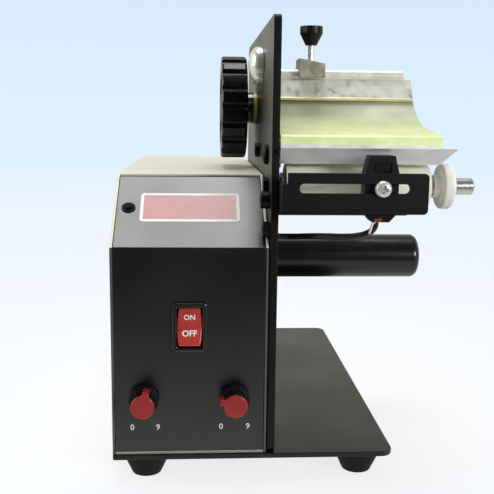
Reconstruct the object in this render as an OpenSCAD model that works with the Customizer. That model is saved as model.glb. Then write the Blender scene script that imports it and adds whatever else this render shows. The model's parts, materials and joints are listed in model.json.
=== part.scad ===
// Bench-top label dispenser: control box, side plate, peel platform, gap sensor and roll spindle.
// Drawn from the left front corner of the box, on the base plate: X right, Y back, Z up.
// The finished model stands centred over its origin, on its feet.

/* [Base] */
// Width of the base plate
base_w = 133.4; // [126:0.2:150]
// Thickness of the base plate
base_t = 2.5; // [2:0.1:4]
// Radius of the base plate's free corners, on the right
base_corner_r = 6; // [2:0.5:10]
// Radius of the base plate's corners under the box
base_left_r = 1; // [0.5:0.5:3]
// How far the base plate stands out in front of the panel
base_front = 1; // [0.4:0.1:3]
// How far the base plate stands out behind the box
base_back = 3; // [1:0.5:20]
// Diameter of a foot where it meets the base
foot_d = 25; // [18:0.5:25]
// Diameter of a foot at its tip
foot_tip_d = 14; // [11:0.5:17]
// Height of a foot
foot_h = 12; // [10:0.5:18]
// Distance from the edges of the base to a foot's centre
foot_inset = 15; // [13:0.5:20]

/* [Control box] */
// Width of the control box
box_w = 72; // [68:0.5:80]
// Depth of the control box
box_d = 216; // [200:1:230]
// Height of the control box
box_h = 128.7; // [120:0.1:150]
// Height that the sloped part of the panel covers
slope_h = 30.4; // [28:0.1:33]
// Depth that the sloped part of the panel covers
slope_d = 41.6; // [38:0.1:43]
// Thickness of the painted sheet
sheet_t = 1.2; // [1:0.1:1.5]
// Thickness of the front panel
panel_t = 1.5; // [1.2:0.1:2]

/* [Side plate] */
// Thickness of the side plate
plate_t = 3.5; // [3:0.1:5]
// Depth of the side plate
plate_d = 174; // [150:1:200]
// Rise of the side plate above the box
plate_rise = 72.7; // [68:0.1:90]
// Corner radius of the side plate
plate_corner_r = 3; // [1:0.5:8]
// Radius of the slot's round ends
slot_r = 6.7; // [6:0.1:8]
// Centre of the slot's front end, from the plate's front edge
slot_y = 60; // [58:0.5:64]
// Distance between the slot's end centres
slot_l = 66; // [40:1:80]
// Distance of the slot's middle line below the top of the side plate
slot_drop = 18.2; // [15:0.1:18.4]

/* [Peel platform] */
// Rise of the platform's top face above the box
deck_rise = 15.3; // [14.6:0.1:16]
// Thickness of the platform sheet
deck_t = 1.2; // [1:0.1:1.5]
// How far the peel edge stands out in front of the side plate
peel_front = 5.8; // [4:0.1:8]
// Length of the platform from the side plate
deck_w = 78.9; // [76:0.1:84]
// Depth of the lip under the peel edge
lip_d = 11.2; // [9:0.1:12]
// Drop of the lip under the peel edge
lip_h = 7.7; // [6:0.1:8]
// Length of the curved sheet from the side plate
curve_w = 73.6; // [70:0.1:75]
// Thickness of the curved sheet
curve_t = 1; // [0.8:0.1:1.2]

/* [Supply and brake] */
// Diameter of the supply spindle, which takes 25.4 mm cores
spindle_d = 25.2; // [24:0.1:30]
// Length of the supply spindle
spindle_l = 92.4; // [80:0.2:93]
// Distance of the supply spindle behind the plate's front edge
spindle_y = 102; // [98:1:120]
// Distance of the supply spindle below the top of the box
spindle_drop = 51.9; // [45:0.1:60]
// Diameter of the hand wheel
wheel_d = 56; // [50:1:60]
// Width of the hand wheel
wheel_w = 13.9; // [11:0.1:15]
// Number of flutes round the hand wheel
wheel_flutes = 18; // [12:1:24]
// Distance of the brake shaft behind the plate's front edge
brake_y = 100; // [99:0.5:110]
// Rise of the brake shaft above the box
brake_rise = 33.4; // [31:0.1:35]
// Diameter of the brake roller
brake_roller_d = 20; // [14:0.5:22]

/* [Rollers and shafts] */
// Diameter of the guide shaft
guide_d = 8; // [6:0.1:9]
// Distance of the guide shaft behind the plate's front edge
guide_y = 16; // [15:0.1:18]
// Distance of the guide shaft below the top of the box
guide_drop = 3.1; // [2:0.1:3.6]
// Length of the guide shaft that stands out from the side plate
guide_l = 93.9; // [93:0.1:100]
// Diameter of the liner idler
idler_d = 20.6; // [16:0.1:21]
// Diameter of the white liner disc
disc_d = 21.4; // [18:0.1:24]
// Width of the white liner disc
disc_w = 10; // [8:0.1:11]
// Diameter of the drive roller
drive_d = 18; // [14:0.1:19]
// Diameter of the pinch roller
pinch_d = 16; // [12:0.1:17]
// Distance of the drive roller behind the plate's front edge
drive_y = 44; // [43:0.1:46]
// Distance of the drive roller below the top of the box
drive_drop = 11.7; // [11:0.1:13]
// Diameter of the drive and brake shafts
shaft_d = 6; // [5:0.1:7]

/* [Press bar and guide block] */
// Diameter of the press bar
bar_d = 6.2; // [5.5:0.1:6.6]
// Distance of the press bar behind the plate's front edge
bar_y = 60; // [59.5:0.1:60.5]
// Distance of the press bar below the top of the side plate
bar_drop = 23; // [22.8:0.1:23.4]
// Length of the press bar from the side plate
bar_l = 69.5; // [60:0.5:72]
// Width of the guide block along the bar
block_w = 13.4; // [11:0.1:16]
// Distance from the side plate to the guide block
block_x = 14.5; // [6:0.5:50]
// Height of the guide block above the bar's middle line, on its left side
block_h = 8.2; // [7:0.1:9]
// Fall of the guide block's top from left to right
block_fall = 2.6; // [0:0.1:3]
// Diameter of the thumb screw's knob at its top
thumb_d = 11.6; // [9:0.1:13]
// Height of the thumb screw's knob
thumb_h = 9.4; // [7:0.1:12]

/* [Sensor] */
// Length of the sensor bracket from the side plate
bracket_w = 64.2; // [58:0.2:70]
// Height of the sensor bracket
bracket_h = 17.9; // [16:0.1:19]
// Distance of the sensor bracket's lower edge below the top of the box
bracket_drop = 13.1; // [12.8:0.1:14]
// Thickness of the sensor bracket
bracket_t = 2; // [1.5:0.1:2.5]
// How far the bracket's front face stands out in front of the side plate
bracket_front = 14; // [13.6:0.1:16]
// Place of the sensor along the bracket, from the side plate
sensor_x = 43.9; // [30:0.1:48]
// Width of the sensor
sensor_w = 15; // [12:0.1:17]

/* [Panel controls] */
// Distance of each knob's axis from the side of the box
knob_inset = 15; // [12:0.5:18]
// Height of the knobs above the base
knob_z = 27.7; // [22:0.1:32]
// Diameter of a knob's skirt
knob_d = 13.8; // [12:0.1:16]
// Height of the switch above the base
switch_z = 61.6; // [55:0.1:66]
// Width of the switch bezel
switch_w = 16; // [15:0.1:18]
// Height of the switch bezel
switch_h = 23; // [22:0.1:25]
// Width of the bare panel on each side of the counter window
window_side = 13; // [12.6:0.1:17]
// Height of the counter window along the slope
window_h = 18.8; // [15:0.1:20]
// Distance of the window's middle up the slope from the fold
window_s = 27.1; // [24:0.1:29]
// Distance of the reset button from the box's left side
button_x = 7; // [6.4:0.1:7.6]

/* [Hidden] */
$fn = 64;

// Shared clearances: one overrun for all cuts, running fits, and gaps between fixed pieces
over = 1;
run_gap = 0.05;
seat_gap = 0.1;
free_gap = 0.4;
plate_gap = 0.6;

// Metric screws used on the machine: shank, head diameter, head height
m3_d = 3;
m3_head_d = 5.6;
m3_head_h = 1.8;
m4_d = 4;
m4_head_d = 7.4;
m4_head_h = 2.6;
m5_d = 5;
m5_head_h = 4.4;
button_head_d = 9.4;
button_rim_h = 0.9;
button_dome_h = 2;
lug_head_d = 8;
lug_head_h = 3.4;
hex_key_d = 4.2;
hex_key_h = 2.4;

// Heights above the base plate: the panel's fold, what the side plate carries, and its top
fold_h = box_h - slope_h;
plate_h = box_h + plate_rise;
slot_z = plate_h - slot_drop;
bar_z = plate_h - bar_drop;
deck_z = box_h + deck_rise;
brake_z = box_h + brake_rise;
guide_z = box_h - guide_drop;
drive_z = box_h - drive_drop;
bracket_z = box_h - bracket_drop;
spindle_z = box_h - spindle_drop;

// Planes of the side plate and the box
plate_x = box_w + plate_gap;
face_x = plate_x + plate_t;
base_back_y = box_d + base_back;
base_d = base_front + base_back_y;
pan_t = sheet_t;
panel_gap = 0.15;
panel_x0 = sheet_t + panel_gap;
panel_w = box_w - 2 * panel_x0;
slope_a = atan2(box_h - fold_h, slope_d);
slope_top_y = slope_d - sheet_t / tan(slope_a);
panel_flange_l = 9;

// Where the whole model stands: centred in X and Y over the origin, feet on the ground
screw_front = m4_head_h;
front_y = -bracket_front - screw_front;
mid_x = (face_x + guide_l - m3_head_h) / 2;
mid_y = (base_back_y + front_y) / 2;
ground_z = base_t + foot_h;

// Feet and their screws
foot_xs = [foot_inset, base_w - foot_inset];
foot_ys = [foot_inset - base_front, base_back_y - foot_inset];
foot_recess_d = 9;
foot_recess_h = 6;
foot_blind = 0.5;

// Floor pan and cover
pan_lip_h = 14;
pan_lip_z = 8;
cover_screw_front = 24;
cover_screw_back = 26;
cover_screw_ys = [cover_screw_front, box_d - cover_screw_back];
rear_screw_inset = 14;
rear_screw_xs = [rear_screw_inset, box_w - rear_screw_inset];
vent_n = 7;
vent_w = 2;
vent_l = 20;
vent_pitch = 5;
vent_drop = 36.7;
vent_z = box_h - vent_drop;

// Slot in the side plate and what slides in it
boss_gap = 0.25;
boss_r = slot_r - boss_gap;

// Platform
deck_y0 = -peel_front;
deck_back = 96;
deck_gap = 0.3;
deck_x0 = face_x + deck_gap;
deck_end_cut = 4.4;
deck_cut_a = 90 - atan2(lip_d, deck_end_cut);
flange_h = 8.8;
flange_y0 = 14;
flange_y1 = deck_back;
flange_t = 2;
flange_inset = 7;
flange_rear_inset = 23;
flange_bolts = [[flange_y0 + flange_inset, m5_d], [flange_y1 - flange_rear_inset, m4_d]];
flange_bolt_drop = 4.4;
curve_screw_d = 3;
curve_screw_n = 3;
curve_screw_inset = 12;
curve_screw_step = (curve_w - 2 * curve_screw_inset) / (curve_screw_n - 1);
curve_screw_xs = [for (i = [0:curve_screw_n - 1]) face_x + curve_screw_inset + i * curve_screw_step];

// Route of the curved sheet in the Y-Z plane: each row is a length or radius, a turn, and a tag
lip_rise = 3;
lip_bend_r = 1.6;
ramp_l = 26.4;
ramp_a = 7;
sweep_r = 40;
sweep_a = 45;
nose_r = 5;
nose_a = 13;
crest_r = 7;
crest_a = 45;
saddle_r = 70;
saddle_a = 12;
back_r = 4;
foot_bend_r = 1.6;
foot_l = 6.2;
curve_y0 = -0.2;
arc_step_a = 6;

// A vector of length one, the direction to the left of a heading, and the steps that an arc takes
function unit(v) = v / norm(v);
function side_of(d) = [-d[1], d[0]];
function arc_n(turn) = max(1, ceil(abs(turn) / arc_step_a));
// Points of one arc from p, heading a, radius r, turning by turn; a turn of zero is a straight run of r
function arc_pts(p, a, r, turn) = turn == 0
    ? [p + r * [cos(a), sin(a)]]
    : [for (i = [1:arc_n(turn)])
        let(s = sign(turn), c = p + s * r * side_of([cos(a), sin(a)]), b = a + turn * i / arc_n(turn))
        c - s * r * side_of([cos(b), sin(b)])];
// Points of a whole route of [radius or length, turn] rows
function route(p, a, rows, i = 0) = i >= len(rows)
    ? [p]
    : let(pts = arc_pts(p, a, rows[i][0], rows[i][1]))
      concat([p], [for (k = [0:1:len(pts) - 2]) pts[k]],
        route(pts[len(pts) - 1], a + rows[i][1], rows, i + 1));
// Mitred offset of point i of a route, one unit to the left
function mitre(p, i) =
    let(d0 = i > 0 ? unit(p[i] - p[i - 1]) : unit(p[1] - p[0]),
        d1 = i < len(p) - 1 ? unit(p[i + 1] - p[i]) : d0,
        n = unit(side_of(d0) + side_of(d1)))
    n / (n * side_of(d1));
// Closed outline of a strip of thickness t, lying left of a route
function ribbon(p, t) = concat(p, [for (i = [len(p) - 1:-1:0]) p[i] + mitre(p, i) * t]);

// The curved sheet's route runs along its underside, from the lip over the crest to the rear foot
curve_rows = [
    [lip_rise, 0], [lip_bend_r, ramp_a - 90], [ramp_l, 0], [sweep_r, sweep_a], [nose_r, nose_a],
    [crest_r, -crest_a], [saddle_r, -saddle_a], [back_r, -90 - ramp_a - sweep_a - nose_a + crest_a + saddle_a]
];
curve_top = route([curve_y0 + curve_t, deck_z], 90, curve_rows);
curve_end = curve_top[len(curve_top) - 1];
curve_rear = route(curve_end, -90, [[curve_end[1] - deck_z - foot_bend_r - curve_t, 0],
    [foot_bend_r, 90], [foot_l, 0]]);
curve_route = concat([for (i = [0:len(curve_top) - 2]) curve_top[i]], curve_rear);
curve_foot_y = curve_end[0] + foot_bend_r;

// Press bar, its bracket and the leaf
bracket_half = 8;
bar_tab = 4.8;
bar_bracket_t = 2.4;
bar_bracket_top = 8;
bar_corner_r = 3;
bar_spigot_d = 4;
nut_d = 18.4;
nut_rim_h = 2.2;
nut_dome_h = 5;
tab_low_z = bar_z - bar_tab;
tab_reach = norm([bracket_half - bar_corner_r, slot_z - tab_low_z - bar_corner_r]) + bar_corner_r;
leaf_t = 0.8;
leaf_fall_y = 8.2;
leaf_fall_z = 12;
leaf_grip_y = 2;
leaf_grip_z = 1.8;
leaf_gap = 0.6;
hem_d = 1.7;
leaf_end_x = curve_w - leaf_gap;
leaf_low = [bar_y - leaf_fall_y, bar_z - leaf_fall_z];
leaf_top = [bar_y - leaf_grip_y, bar_z - leaf_grip_z];
leaf_half = side_of(unit(leaf_top - leaf_low)) * leaf_t / 2;

// Guide block
block_d = 15;
block_under = 1.3;
thumb_rod_d = 2.9;
thumb_neck_d = 5.7;
thumb_gap_h = 6.8;
thumb_reach = 0.1;
thumb_taper_share = 0.62;
thumb_flute_share = 0.25;
thumb_ribs = 12;
thumb_rib_r = 0.8;

// Sensor bracket and sensor
slot_lo_x = 7.5;
slot_end_gap = 8.2;
slot_hi_x = bracket_w - slot_end_gap;
slot_h = 4.2;
slot_mid = 11.2;
bracket_r = 2;
notch_h = 4.8;
notch_w = 2.4;
flange_back = 24;
bracket_bolt_y = 6.5;
bracket_bolt_up = 4;
bracket_bolt_z = bracket_z + bracket_bolt_up;
spare_bolt_y = 4.5;
spare_bolt_z = fold_h + spare_bolt_y * tan(slope_a) + (m4_head_d / 2 + seat_gap) / cos(slope_a);
sensor_d = 8.6;
sensor_top = 7.6;
sensor_top_w = 11.2;
sensor_low = 3.7;
sensor_low_w = 7.6;
sensor_eye_w = 8;
sensor_eye_h = 4;
sensor_eye_d = 0.8;
sensor_gap = 0.3;
sensor_y0 = bracket_t + sensor_gap - bracket_front;
key_w = 8;
key_h = slot_h - 2 * sensor_gap;
cable_d = 3;
grommet_y = 18;
grommet_drop = 27.7;
grommet_z = box_h - grommet_drop;
grommet_d = 8;
grommet_hole_d = 5;
grommet_lip_t = 1.4;

// Route of the sensor cable from the sensor's chin to the inside of the box, chosen by hand:
// how far along the straight line between both ends each point lies, and its offset from that line
cable_sides = 8;
cable_from = [face_x + sensor_x, sensor_y0 + sensor_d / 2, bracket_z - sensor_low];
cable_to = [face_x, grommet_y, grommet_z];
cable_shares = [0, 0, 0, 0, 0.2, 0.35, 0.5, 0.6, 0.7, 0.8, 1, 1, 1, 1];
cable_offsets = [
    [-1.4, 0, -0.1], [-1.4, 0, -1.7], [-2.5, 0.1, -3.9], [-5.2, 0.4, -5.7], [-0.6, -3.9, -4.7],
    [0.4, -6.1, -3.7], [1, -6.3, -2.5], [-0.2, -3.8, -2], [-0.3, -0.4, -2], [0.7, 1.7, -1.7],
    [6.3, -0.8, 0.1], [2.9, 0, 0], [-2.1, 0, 0], [-7.1, 0, 0]
];
cable_points = [for (i = [0:len(cable_shares) - 1])
    (1 - cable_shares[i]) * cable_from + cable_shares[i] * cable_to + cable_offsets[i]];

// Rollers
idler_x = 4;
idler_end_gap = 7.4;
idler_l = deck_w - idler_end_gap - idler_x;
shoulder_d = 12;
disc_gap = 3.1;
disc_x = idler_x + idler_l + disc_gap;
guide_tap_l = 18;
shaft_screw_in = 9;
disc_rim_r = 3;
roller_x = 4;
roller_end_gap = 8.9;
roller_l = deck_w - roller_end_gap - roller_x;
pinch_gap = 0.3;
pinch_y = drive_y + drive_d / 2 + pinch_d / 2 + pinch_gap;
bush_flange_d = 12;
bush_flange_t = 1;
bush_wall = 1.5;
pulley_d = 15;
pulley_w = 7;
pulley_flange_d = 17;
pulley_flange_t = 0.8;
pulley_in = 10.5;
pulley_x = box_w - pulley_in;
belt_t = 1.2;
belt_w = 5;
belt_gap = 0.3;
motor_y = 76;
motor_z = 58;
gearbox_d = 37;
gearbox_l = 22;
can_d = 35;
can_gap = 2;
boss_d = 12;
boss_l = 2;
motor_plate_t = 2;
motor_in = 15;
motor_plate_x = box_w - motor_in;
motor_foot_l = 18;
motor_plate_w = 44;
motor_shaft_l = 14;
rear_boss_d = 14;
rear_boss_l = 3;
can_l = motor_plate_x - gearbox_l - rear_boss_l - can_gap;

// Angle that ties plate, box and base together, behind the motor
angle_h = 26;
angle_w = 22;
angle_t = 2;
angle_end_gap = 4;
angle_clear = 0.5;
angle_x = box_w - sheet_t - angle_clear;
angle_y = motor_y + motor_plate_w / 2 + angle_end_gap;
angle_l = plate_d - angle_end_gap - angle_y;
angle_screw_inset = 12;
angle_screw_ys = [angle_y + angle_screw_inset, angle_y + angle_l - angle_screw_inset];
angle_screw_z = 16;
angle_base_x = angle_x - angle_screw_inset;
csk_d = 7.6;
csk_h = 2;

// Supply spindle and brake
spindle_axle_d = 8;
spindle_wall = 2.6;
spindle_dome_r = 4;
spindle_rib_l = 12;
spindle_gap = 1;
axle_shoulder_d = 14;
axle_shoulder_l = 0.7;
hub_d = 17;
wheel_hub_l = 5.4;
zinc_d = 16.6;
zinc_t = 0.8;
flute_r = 2.6;
flute_out = 1;
flute_turn = 8.6;
wheel_edge_r = 1.6;
wheel_dish_d = 40;
wheel_dish_h = 3;
wheel_cap_d = 16;
brake_shaft_end = 1.5;

// Panel controls
panel_mid = box_w / 2;
knob_spread = panel_mid - knob_inset;
window_w = box_w - 2 * window_side;
bezel_out = 1.8;
bezel_r = 1.6;
rocker_gap = 0.2;
switch_rim = 2.1;
switch_body_d = 15;
switch_back_t = 2;
switch_step = 1.2;
switch_body_w = switch_w - 2 * switch_step - 2 * seat_gap;
switch_body_h = switch_h - 2 * switch_step - 2 * seat_gap;
cavity_w = switch_w - 2 * switch_rim;
cavity_h = switch_h - 2 * switch_rim;
rocker_w = cavity_w - 2 * rocker_gap;
rocker_r = cavity_h / 2 - rocker_gap;
rocker_pivot_y = 1;
rocker_out = 3.3;
rocker_in = 5;
rocker_dip = 1.3;
rocker_tilt = 10;
rocker_pin_d = 2.4;
rocker_pin_l = 0.6;
skirt_h = 3;
knob_body_d = 11.4;
knob_out = 13;
knob_lift = 0.8;
cap_t = 1.6;
cap_d = 10.8;
cap_seat = 1;
pointer_w = 3.2;
pointer_r = 7.4;
pointer_drop = 6;
knob_flutes = 18;
knob_flute_r = 0.6;
knob_flute_rise = 0.5;
pot_shaft_d = 6;
pot_bush_d = 7;
pot_nut_d = 10;
pot_nut_t = 2;
pot_body_d = 16;
pot_body_h = 9;
shaft_in = 4;
length_turn = -14;
speed_turn = 72;
window_t = 2.5;
window_lap = 1.6;
board_t = 1.6;
board_over = 0.5;
board_rise = 2.6;
board_w = window_w + 2 * board_over;
board_h = window_h + 2 * board_rise;
board_drop = 12;
digit_side = 2;
digit_rise = 1.4;
digit_w = window_w - 2 * digit_side;
digit_h = window_h - 2 * digit_rise;
digit_t = 7;
post_d = 4;
post_inset = 2.6;
button_d = 3.4;
button_out = 1.7;
button_in = 4;
button_s = 26.6;
bushing_d = 5.4;
bushing_flange_d = 6.6;
bushing_flange_t = 0.5;
bushing_l = 6;
reset_head_d = 4.4;
reset_head_t = 0.8;

// DC inlet and control board
inlet_x = 20;
inlet_z = 28;
inlet_d = 8;
inlet_bore_d = 5.6;
inlet_pin_d = 2.1;
inlet_flange_d = 11;
inlet_flange_t = 1.4;
inlet_body_l = 13;
inlet_bore_l = 9;
pcb_x = 8;
pcb_side = 24;
pcb_w = box_w - pcb_side - pcb_x;
pcb_front_gap = 20;
pcb_y = motor_y + motor_plate_w / 2 + pcb_front_gap;
pcb_back_gap = 18;
pcb_l = box_d - pcb_back_gap - pcb_y;
pcb_z = 9;
pcb_t = 1.6;
pcb_post_inset = 5;
sink_w = pcb_w - 2 * pcb_post_inset;
sink_l = 20;
sink_h = 18;
relay_w = 16;
relay_l = 19;
relay_h = 15;
cap_can_d = 10;
cap_can_h = 16;

// Moves a drawing from the box's corner to the model's own origin
module place() {
    translate([-mid_x, -mid_y, ground_z]) children();
}

// A 2-D outline in the Y-Z plane, pulled out along X
module along_x(x, l) {
    translate([x, 0, 0]) rotate([90, 0, 90]) linear_extrude(l) children();
}

// A round bar along X
module rod_x(x, y, z, d, l) {
    translate([x, y, z]) rotate([0, 90, 0]) cylinder(d = d, h = l);
}

// A round bar along Y
module rod_y(x, y, z, d, l) {
    translate([x, y, z]) rotate([-90, 0, 0]) cylinder(d = d, h = l);
}

// A rectangle with round corners, from its lower left corner
module round_rect(w, h, r) {
    translate([r, 0]) square([w - 2 * r, h]);
    translate([0, r]) square([w, h - 2 * r]);
    for (x = [r, w - r], y = [r, h - r]) translate([x, y]) circle(r);
}

// A long hole with round ends, from the centre of its first end
module long_hole(l, r) {
    circle(r);
    translate([l, 0]) circle(r);
    translate([0, -r]) square([l, 2 * r]);
}

// Coordinates on the sloped panel: X across, Y up the slope, Z out of it
module on_slope() {
    translate([0, 0, fold_h]) rotate([slope_a, 0, 0]) children();
}

// A revolved shape about an axis along X; its profile is drawn as [radius, distance along X]
module turned_x(x, y, z) {
    translate([x, y, z]) rotate([0, 90, 0]) rotate_extrude() children();
}

// Half profile of a low dome with its apex first and a straight rim, for turned_x
dome_steps = 10;
function dome_profile(r, rim_h, dome_h) = concat(
    [for (i = [0:dome_steps]) let(b = 90 * i / dome_steps) [r * sin(b), dome_h * (1 - cos(b))]],
    [[r, dome_h + rim_h], [0, dome_h + rim_h]]);

// Socket screw along X: head towards the left, shank towards the right
module socket_screw(x, y, z, d, head_d, head_h, l) {
    difference() {
        union() {
            rod_x(x - head_h, y, z, head_d, head_h);
            rod_x(x, y, z, d, l);
        }
        translate([x - head_h - over, y, z]) rotate([0, 90, 0])
            cylinder(d = hex_key_d, h = hex_key_h + over, $fn = 6);
    }
}

// How far a foot's screw reaches above the foot: through base and floor pan, or blind on the right
function foot_grip(x) = x < box_w ? base_t + pan_t : base_t - foot_blind - seat_gap;

module base_plate() {
    color([0.09, 0.09, 0.09]) place() difference() {
        translate([0, -base_front, -base_t]) linear_extrude(base_t) {
            round_rect(base_w, base_d, base_corner_r);
            round_rect(box_w, base_d, base_left_r);
        }
        for (x = foot_xs, y = foot_ys) translate([x, y, -base_t - over])
            cylinder(d = m4_d + 2 * seat_gap, h = over + foot_grip(x) + seat_gap);
        for (y = angle_screw_ys) translate([angle_base_x, y, -base_t - over])
            cylinder(d = m4_d + 2 * seat_gap, h = base_t + 2 * over);
    }
}

module rubber_feet() {
    color([0.05, 0.05, 0.05]) place() for (x = foot_xs, y = foot_ys)
        translate([x, y, -base_t - foot_h]) difference() {
            cylinder(d1 = foot_tip_d, d2 = foot_d, h = foot_h);
            translate([0, 0, -over]) cylinder(d = foot_recess_d, h = foot_recess_h + over);
            cylinder(d = m4_d + 2 * seat_gap, h = foot_h + over);
        }
}

module foot_screws() {
    color([0.7, 0.7, 0.7]) place() for (x = foot_xs, y = foot_ys)
        translate([x, y, -base_t - foot_h + foot_recess_h - m4_head_h]) {
            cylinder(d = m4_head_d, h = m4_head_h);
            translate([0, 0, m4_head_h]) cylinder(d = m4_d, h = foot_h - foot_recess_h + foot_grip(x));
        }
}

module side_plate() {
    color([0.1, 0.1, 0.09]) place() difference() {
        along_x(plate_x, plate_t) round_rect(plate_d, plate_h, plate_corner_r);
        along_x(plate_x - over, plate_t + 2 * over) translate([slot_y, slot_z]) long_hole(slot_l, slot_r);
        for (b = flange_bolts) rod_x(plate_x - over, b[0], deck_z - flange_bolt_drop, b[1] + 2 * seat_gap,
            plate_t + 2 * over);
        rod_x(plate_x - over, bracket_bolt_y, bracket_bolt_z, m5_d + 2 * seat_gap, plate_t + 2 * over);
        rod_x(plate_x - over, spare_bolt_y, spare_bolt_z, m4_d, plate_t + 2 * over);
        rod_x(plate_x - over, guide_y, guide_z, m4_d + 2 * seat_gap, plate_t + 2 * over);
        rod_x(plate_x - over, grommet_y, grommet_z, grommet_hole_d, plate_t + 2 * over);
        for (p = [[drive_y, drive_z], [brake_y, brake_z]])
            rod_x(plate_x - over, p[0], p[1], shaft_d + 2 * bush_wall, plate_t + 2 * over);
        for (p = [[pinch_y, drive_z], [spindle_y, spindle_z]])
            rod_x(plate_x - over, p[0], p[1], m5_d + 2 * seat_gap, plate_t + 2 * over);
        for (y = angle_screw_ys) {
            rod_x(plate_x - over, y, angle_screw_z, m4_d + 2 * seat_gap, plate_t + 2 * over);
            translate([face_x - csk_h, y, angle_screw_z]) rotate([0, 90, 0])
                cylinder(d1 = m4_d + 2 * seat_gap, d2 = csk_d, h = csk_h);
        }
    }
}

// Steel angle inside the box, screwed to the base and through the cover to the side plate
module plate_angle() {
    color([0.6, 0.6, 0.6]) place() difference() {
        union() {
            translate([angle_x - angle_t, angle_y, pan_t]) cube([angle_t, angle_l, angle_h]);
            translate([angle_x - angle_w, angle_y, pan_t]) cube([angle_w, angle_l, angle_t]);
        }
        for (y = angle_screw_ys) {
            rod_x(angle_x - angle_t - over, y, angle_screw_z, m4_d + 2 * seat_gap, angle_t + 2 * over);
            translate([angle_base_x, y, 0]) cylinder(d = m4_d + 2 * seat_gap, h = angle_t + pan_t + over);
        }
    }
}

module plate_screws() {
    shank_l = face_x - csk_h - angle_x + angle_t + over;
    color([0.15, 0.15, 0.15]) place() for (y = angle_screw_ys) {
        translate([face_x - csk_h, y, angle_screw_z]) rotate([0, 90, 0])
            cylinder(d1 = m4_d, d2 = csk_d - 2 * seat_gap, h = csk_h);
        rod_x(face_x - csk_h - shank_l, y, angle_screw_z, m4_d, shank_l);
        translate([angle_base_x, y, -base_t - m4_head_h]) cylinder(d = m4_head_d, h = m4_head_h);
        translate([angle_base_x, y, -base_t]) cylinder(d = m4_d, h = base_t + pan_t + angle_t + over);
    }
}

// Flanged bushes of the drive and brake shafts, pressed into the side plate from the right
module plate_bushes() {
    color([0.75, 0.6, 0.3]) place() for (p = [[drive_y, drive_z], [brake_y, brake_z]]) difference() {
        union() {
            rod_x(plate_x, p[0], p[1], shaft_d + 2 * bush_wall, plate_t);
            rod_x(face_x, p[0], p[1], bush_flange_d, bush_flange_t);
        }
        rod_x(plate_x - over, p[0], p[1], shaft_d + 2 * run_gap, plate_t + bush_flange_t + 2 * over);
    }
}

// Rubber grommet through the side plate and the wall of the box, with a lip on each side
module cable_grommet() {
    x0 = box_w - sheet_t;
    color([0.05, 0.05, 0.05]) place() difference() {
        union() {
            rod_x(x0 - grommet_lip_t, grommet_y, grommet_z, grommet_d, grommet_lip_t);
            rod_x(x0, grommet_y, grommet_z, grommet_hole_d, face_x - x0);
            rod_x(face_x, grommet_y, grommet_z, grommet_d, grommet_lip_t);
        }
        rod_x(x0 - grommet_lip_t - over, grommet_y, grommet_z, cable_d,
            face_x - x0 + 2 * grommet_lip_t + 2 * over);
    }
}

// Side outline of the box, from the base up the panel, over the slope and down the back
function box_outline(y1) = [[0, 0], [0, fold_h], [slope_d, box_h], [y1, box_h], [y1, 0]];

module cover() {
    color([0.87, 0.85, 0.76]) place() difference() {
        along_x(0, box_w) polygon(box_outline(box_d));
        along_x(sheet_t, box_w - 2 * sheet_t) polygon([[-over, -over], [-over, box_h + over],
            [slope_d, box_h + over], [slope_d, box_h - sheet_t], [box_d - sheet_t, box_h - sheet_t],
            [box_d - sheet_t, -over]]);
        rod_x(box_w - sheet_t - over, drive_y, drive_z, bush_flange_d, sheet_t + 2 * over);
        rod_x(box_w - sheet_t - over, pinch_y, drive_z, bush_flange_d, sheet_t + 2 * over);
        rod_x(box_w - sheet_t - over, spindle_y, spindle_z, bush_flange_d, sheet_t + 2 * over);
        rod_x(box_w - sheet_t - over, grommet_y, grommet_z, grommet_hole_d, sheet_t + 2 * over);
        for (y = angle_screw_ys)
            rod_x(box_w - sheet_t - over, y, angle_screw_z, m4_d + 2 * seat_gap, sheet_t + 2 * over);
        for (y = cover_screw_ys) rod_x(-over, y, pan_lip_z, m3_d + 2 * seat_gap, sheet_t + 2 * over);
        for (x = rear_screw_xs)
            rod_y(x, box_d - sheet_t - over, pan_lip_z, m3_d + 2 * seat_gap, sheet_t + 2 * over);
        rod_y(inlet_x, box_d - sheet_t - over, inlet_z, inlet_d + 2 * seat_gap, sheet_t + 2 * over);
        for (i = [0:vent_n - 1])
            translate([panel_mid + (i - (vent_n - 1) / 2) * vent_pitch, box_d + over, vent_z])
                rotate([90, -90, 0]) linear_extrude(sheet_t + 2 * over) long_hole(vent_l, vent_w / 2);
    }
}

module cover_screws() {
    color([0.75, 0.75, 0.75]) place() {
        for (y = cover_screw_ys) socket_screw(0, y, pan_lip_z, m3_d, m3_head_d, m3_head_h,
            2 * sheet_t + panel_gap + over);
        for (x = rear_screw_xs) {
            rod_y(x, box_d, pan_lip_z, m3_head_d, m3_head_h);
            rod_y(x, box_d - 2 * sheet_t - panel_gap - over, pan_lip_z, m3_d, 2 * sheet_t + panel_gap + over);
        }
    }
}

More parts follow.
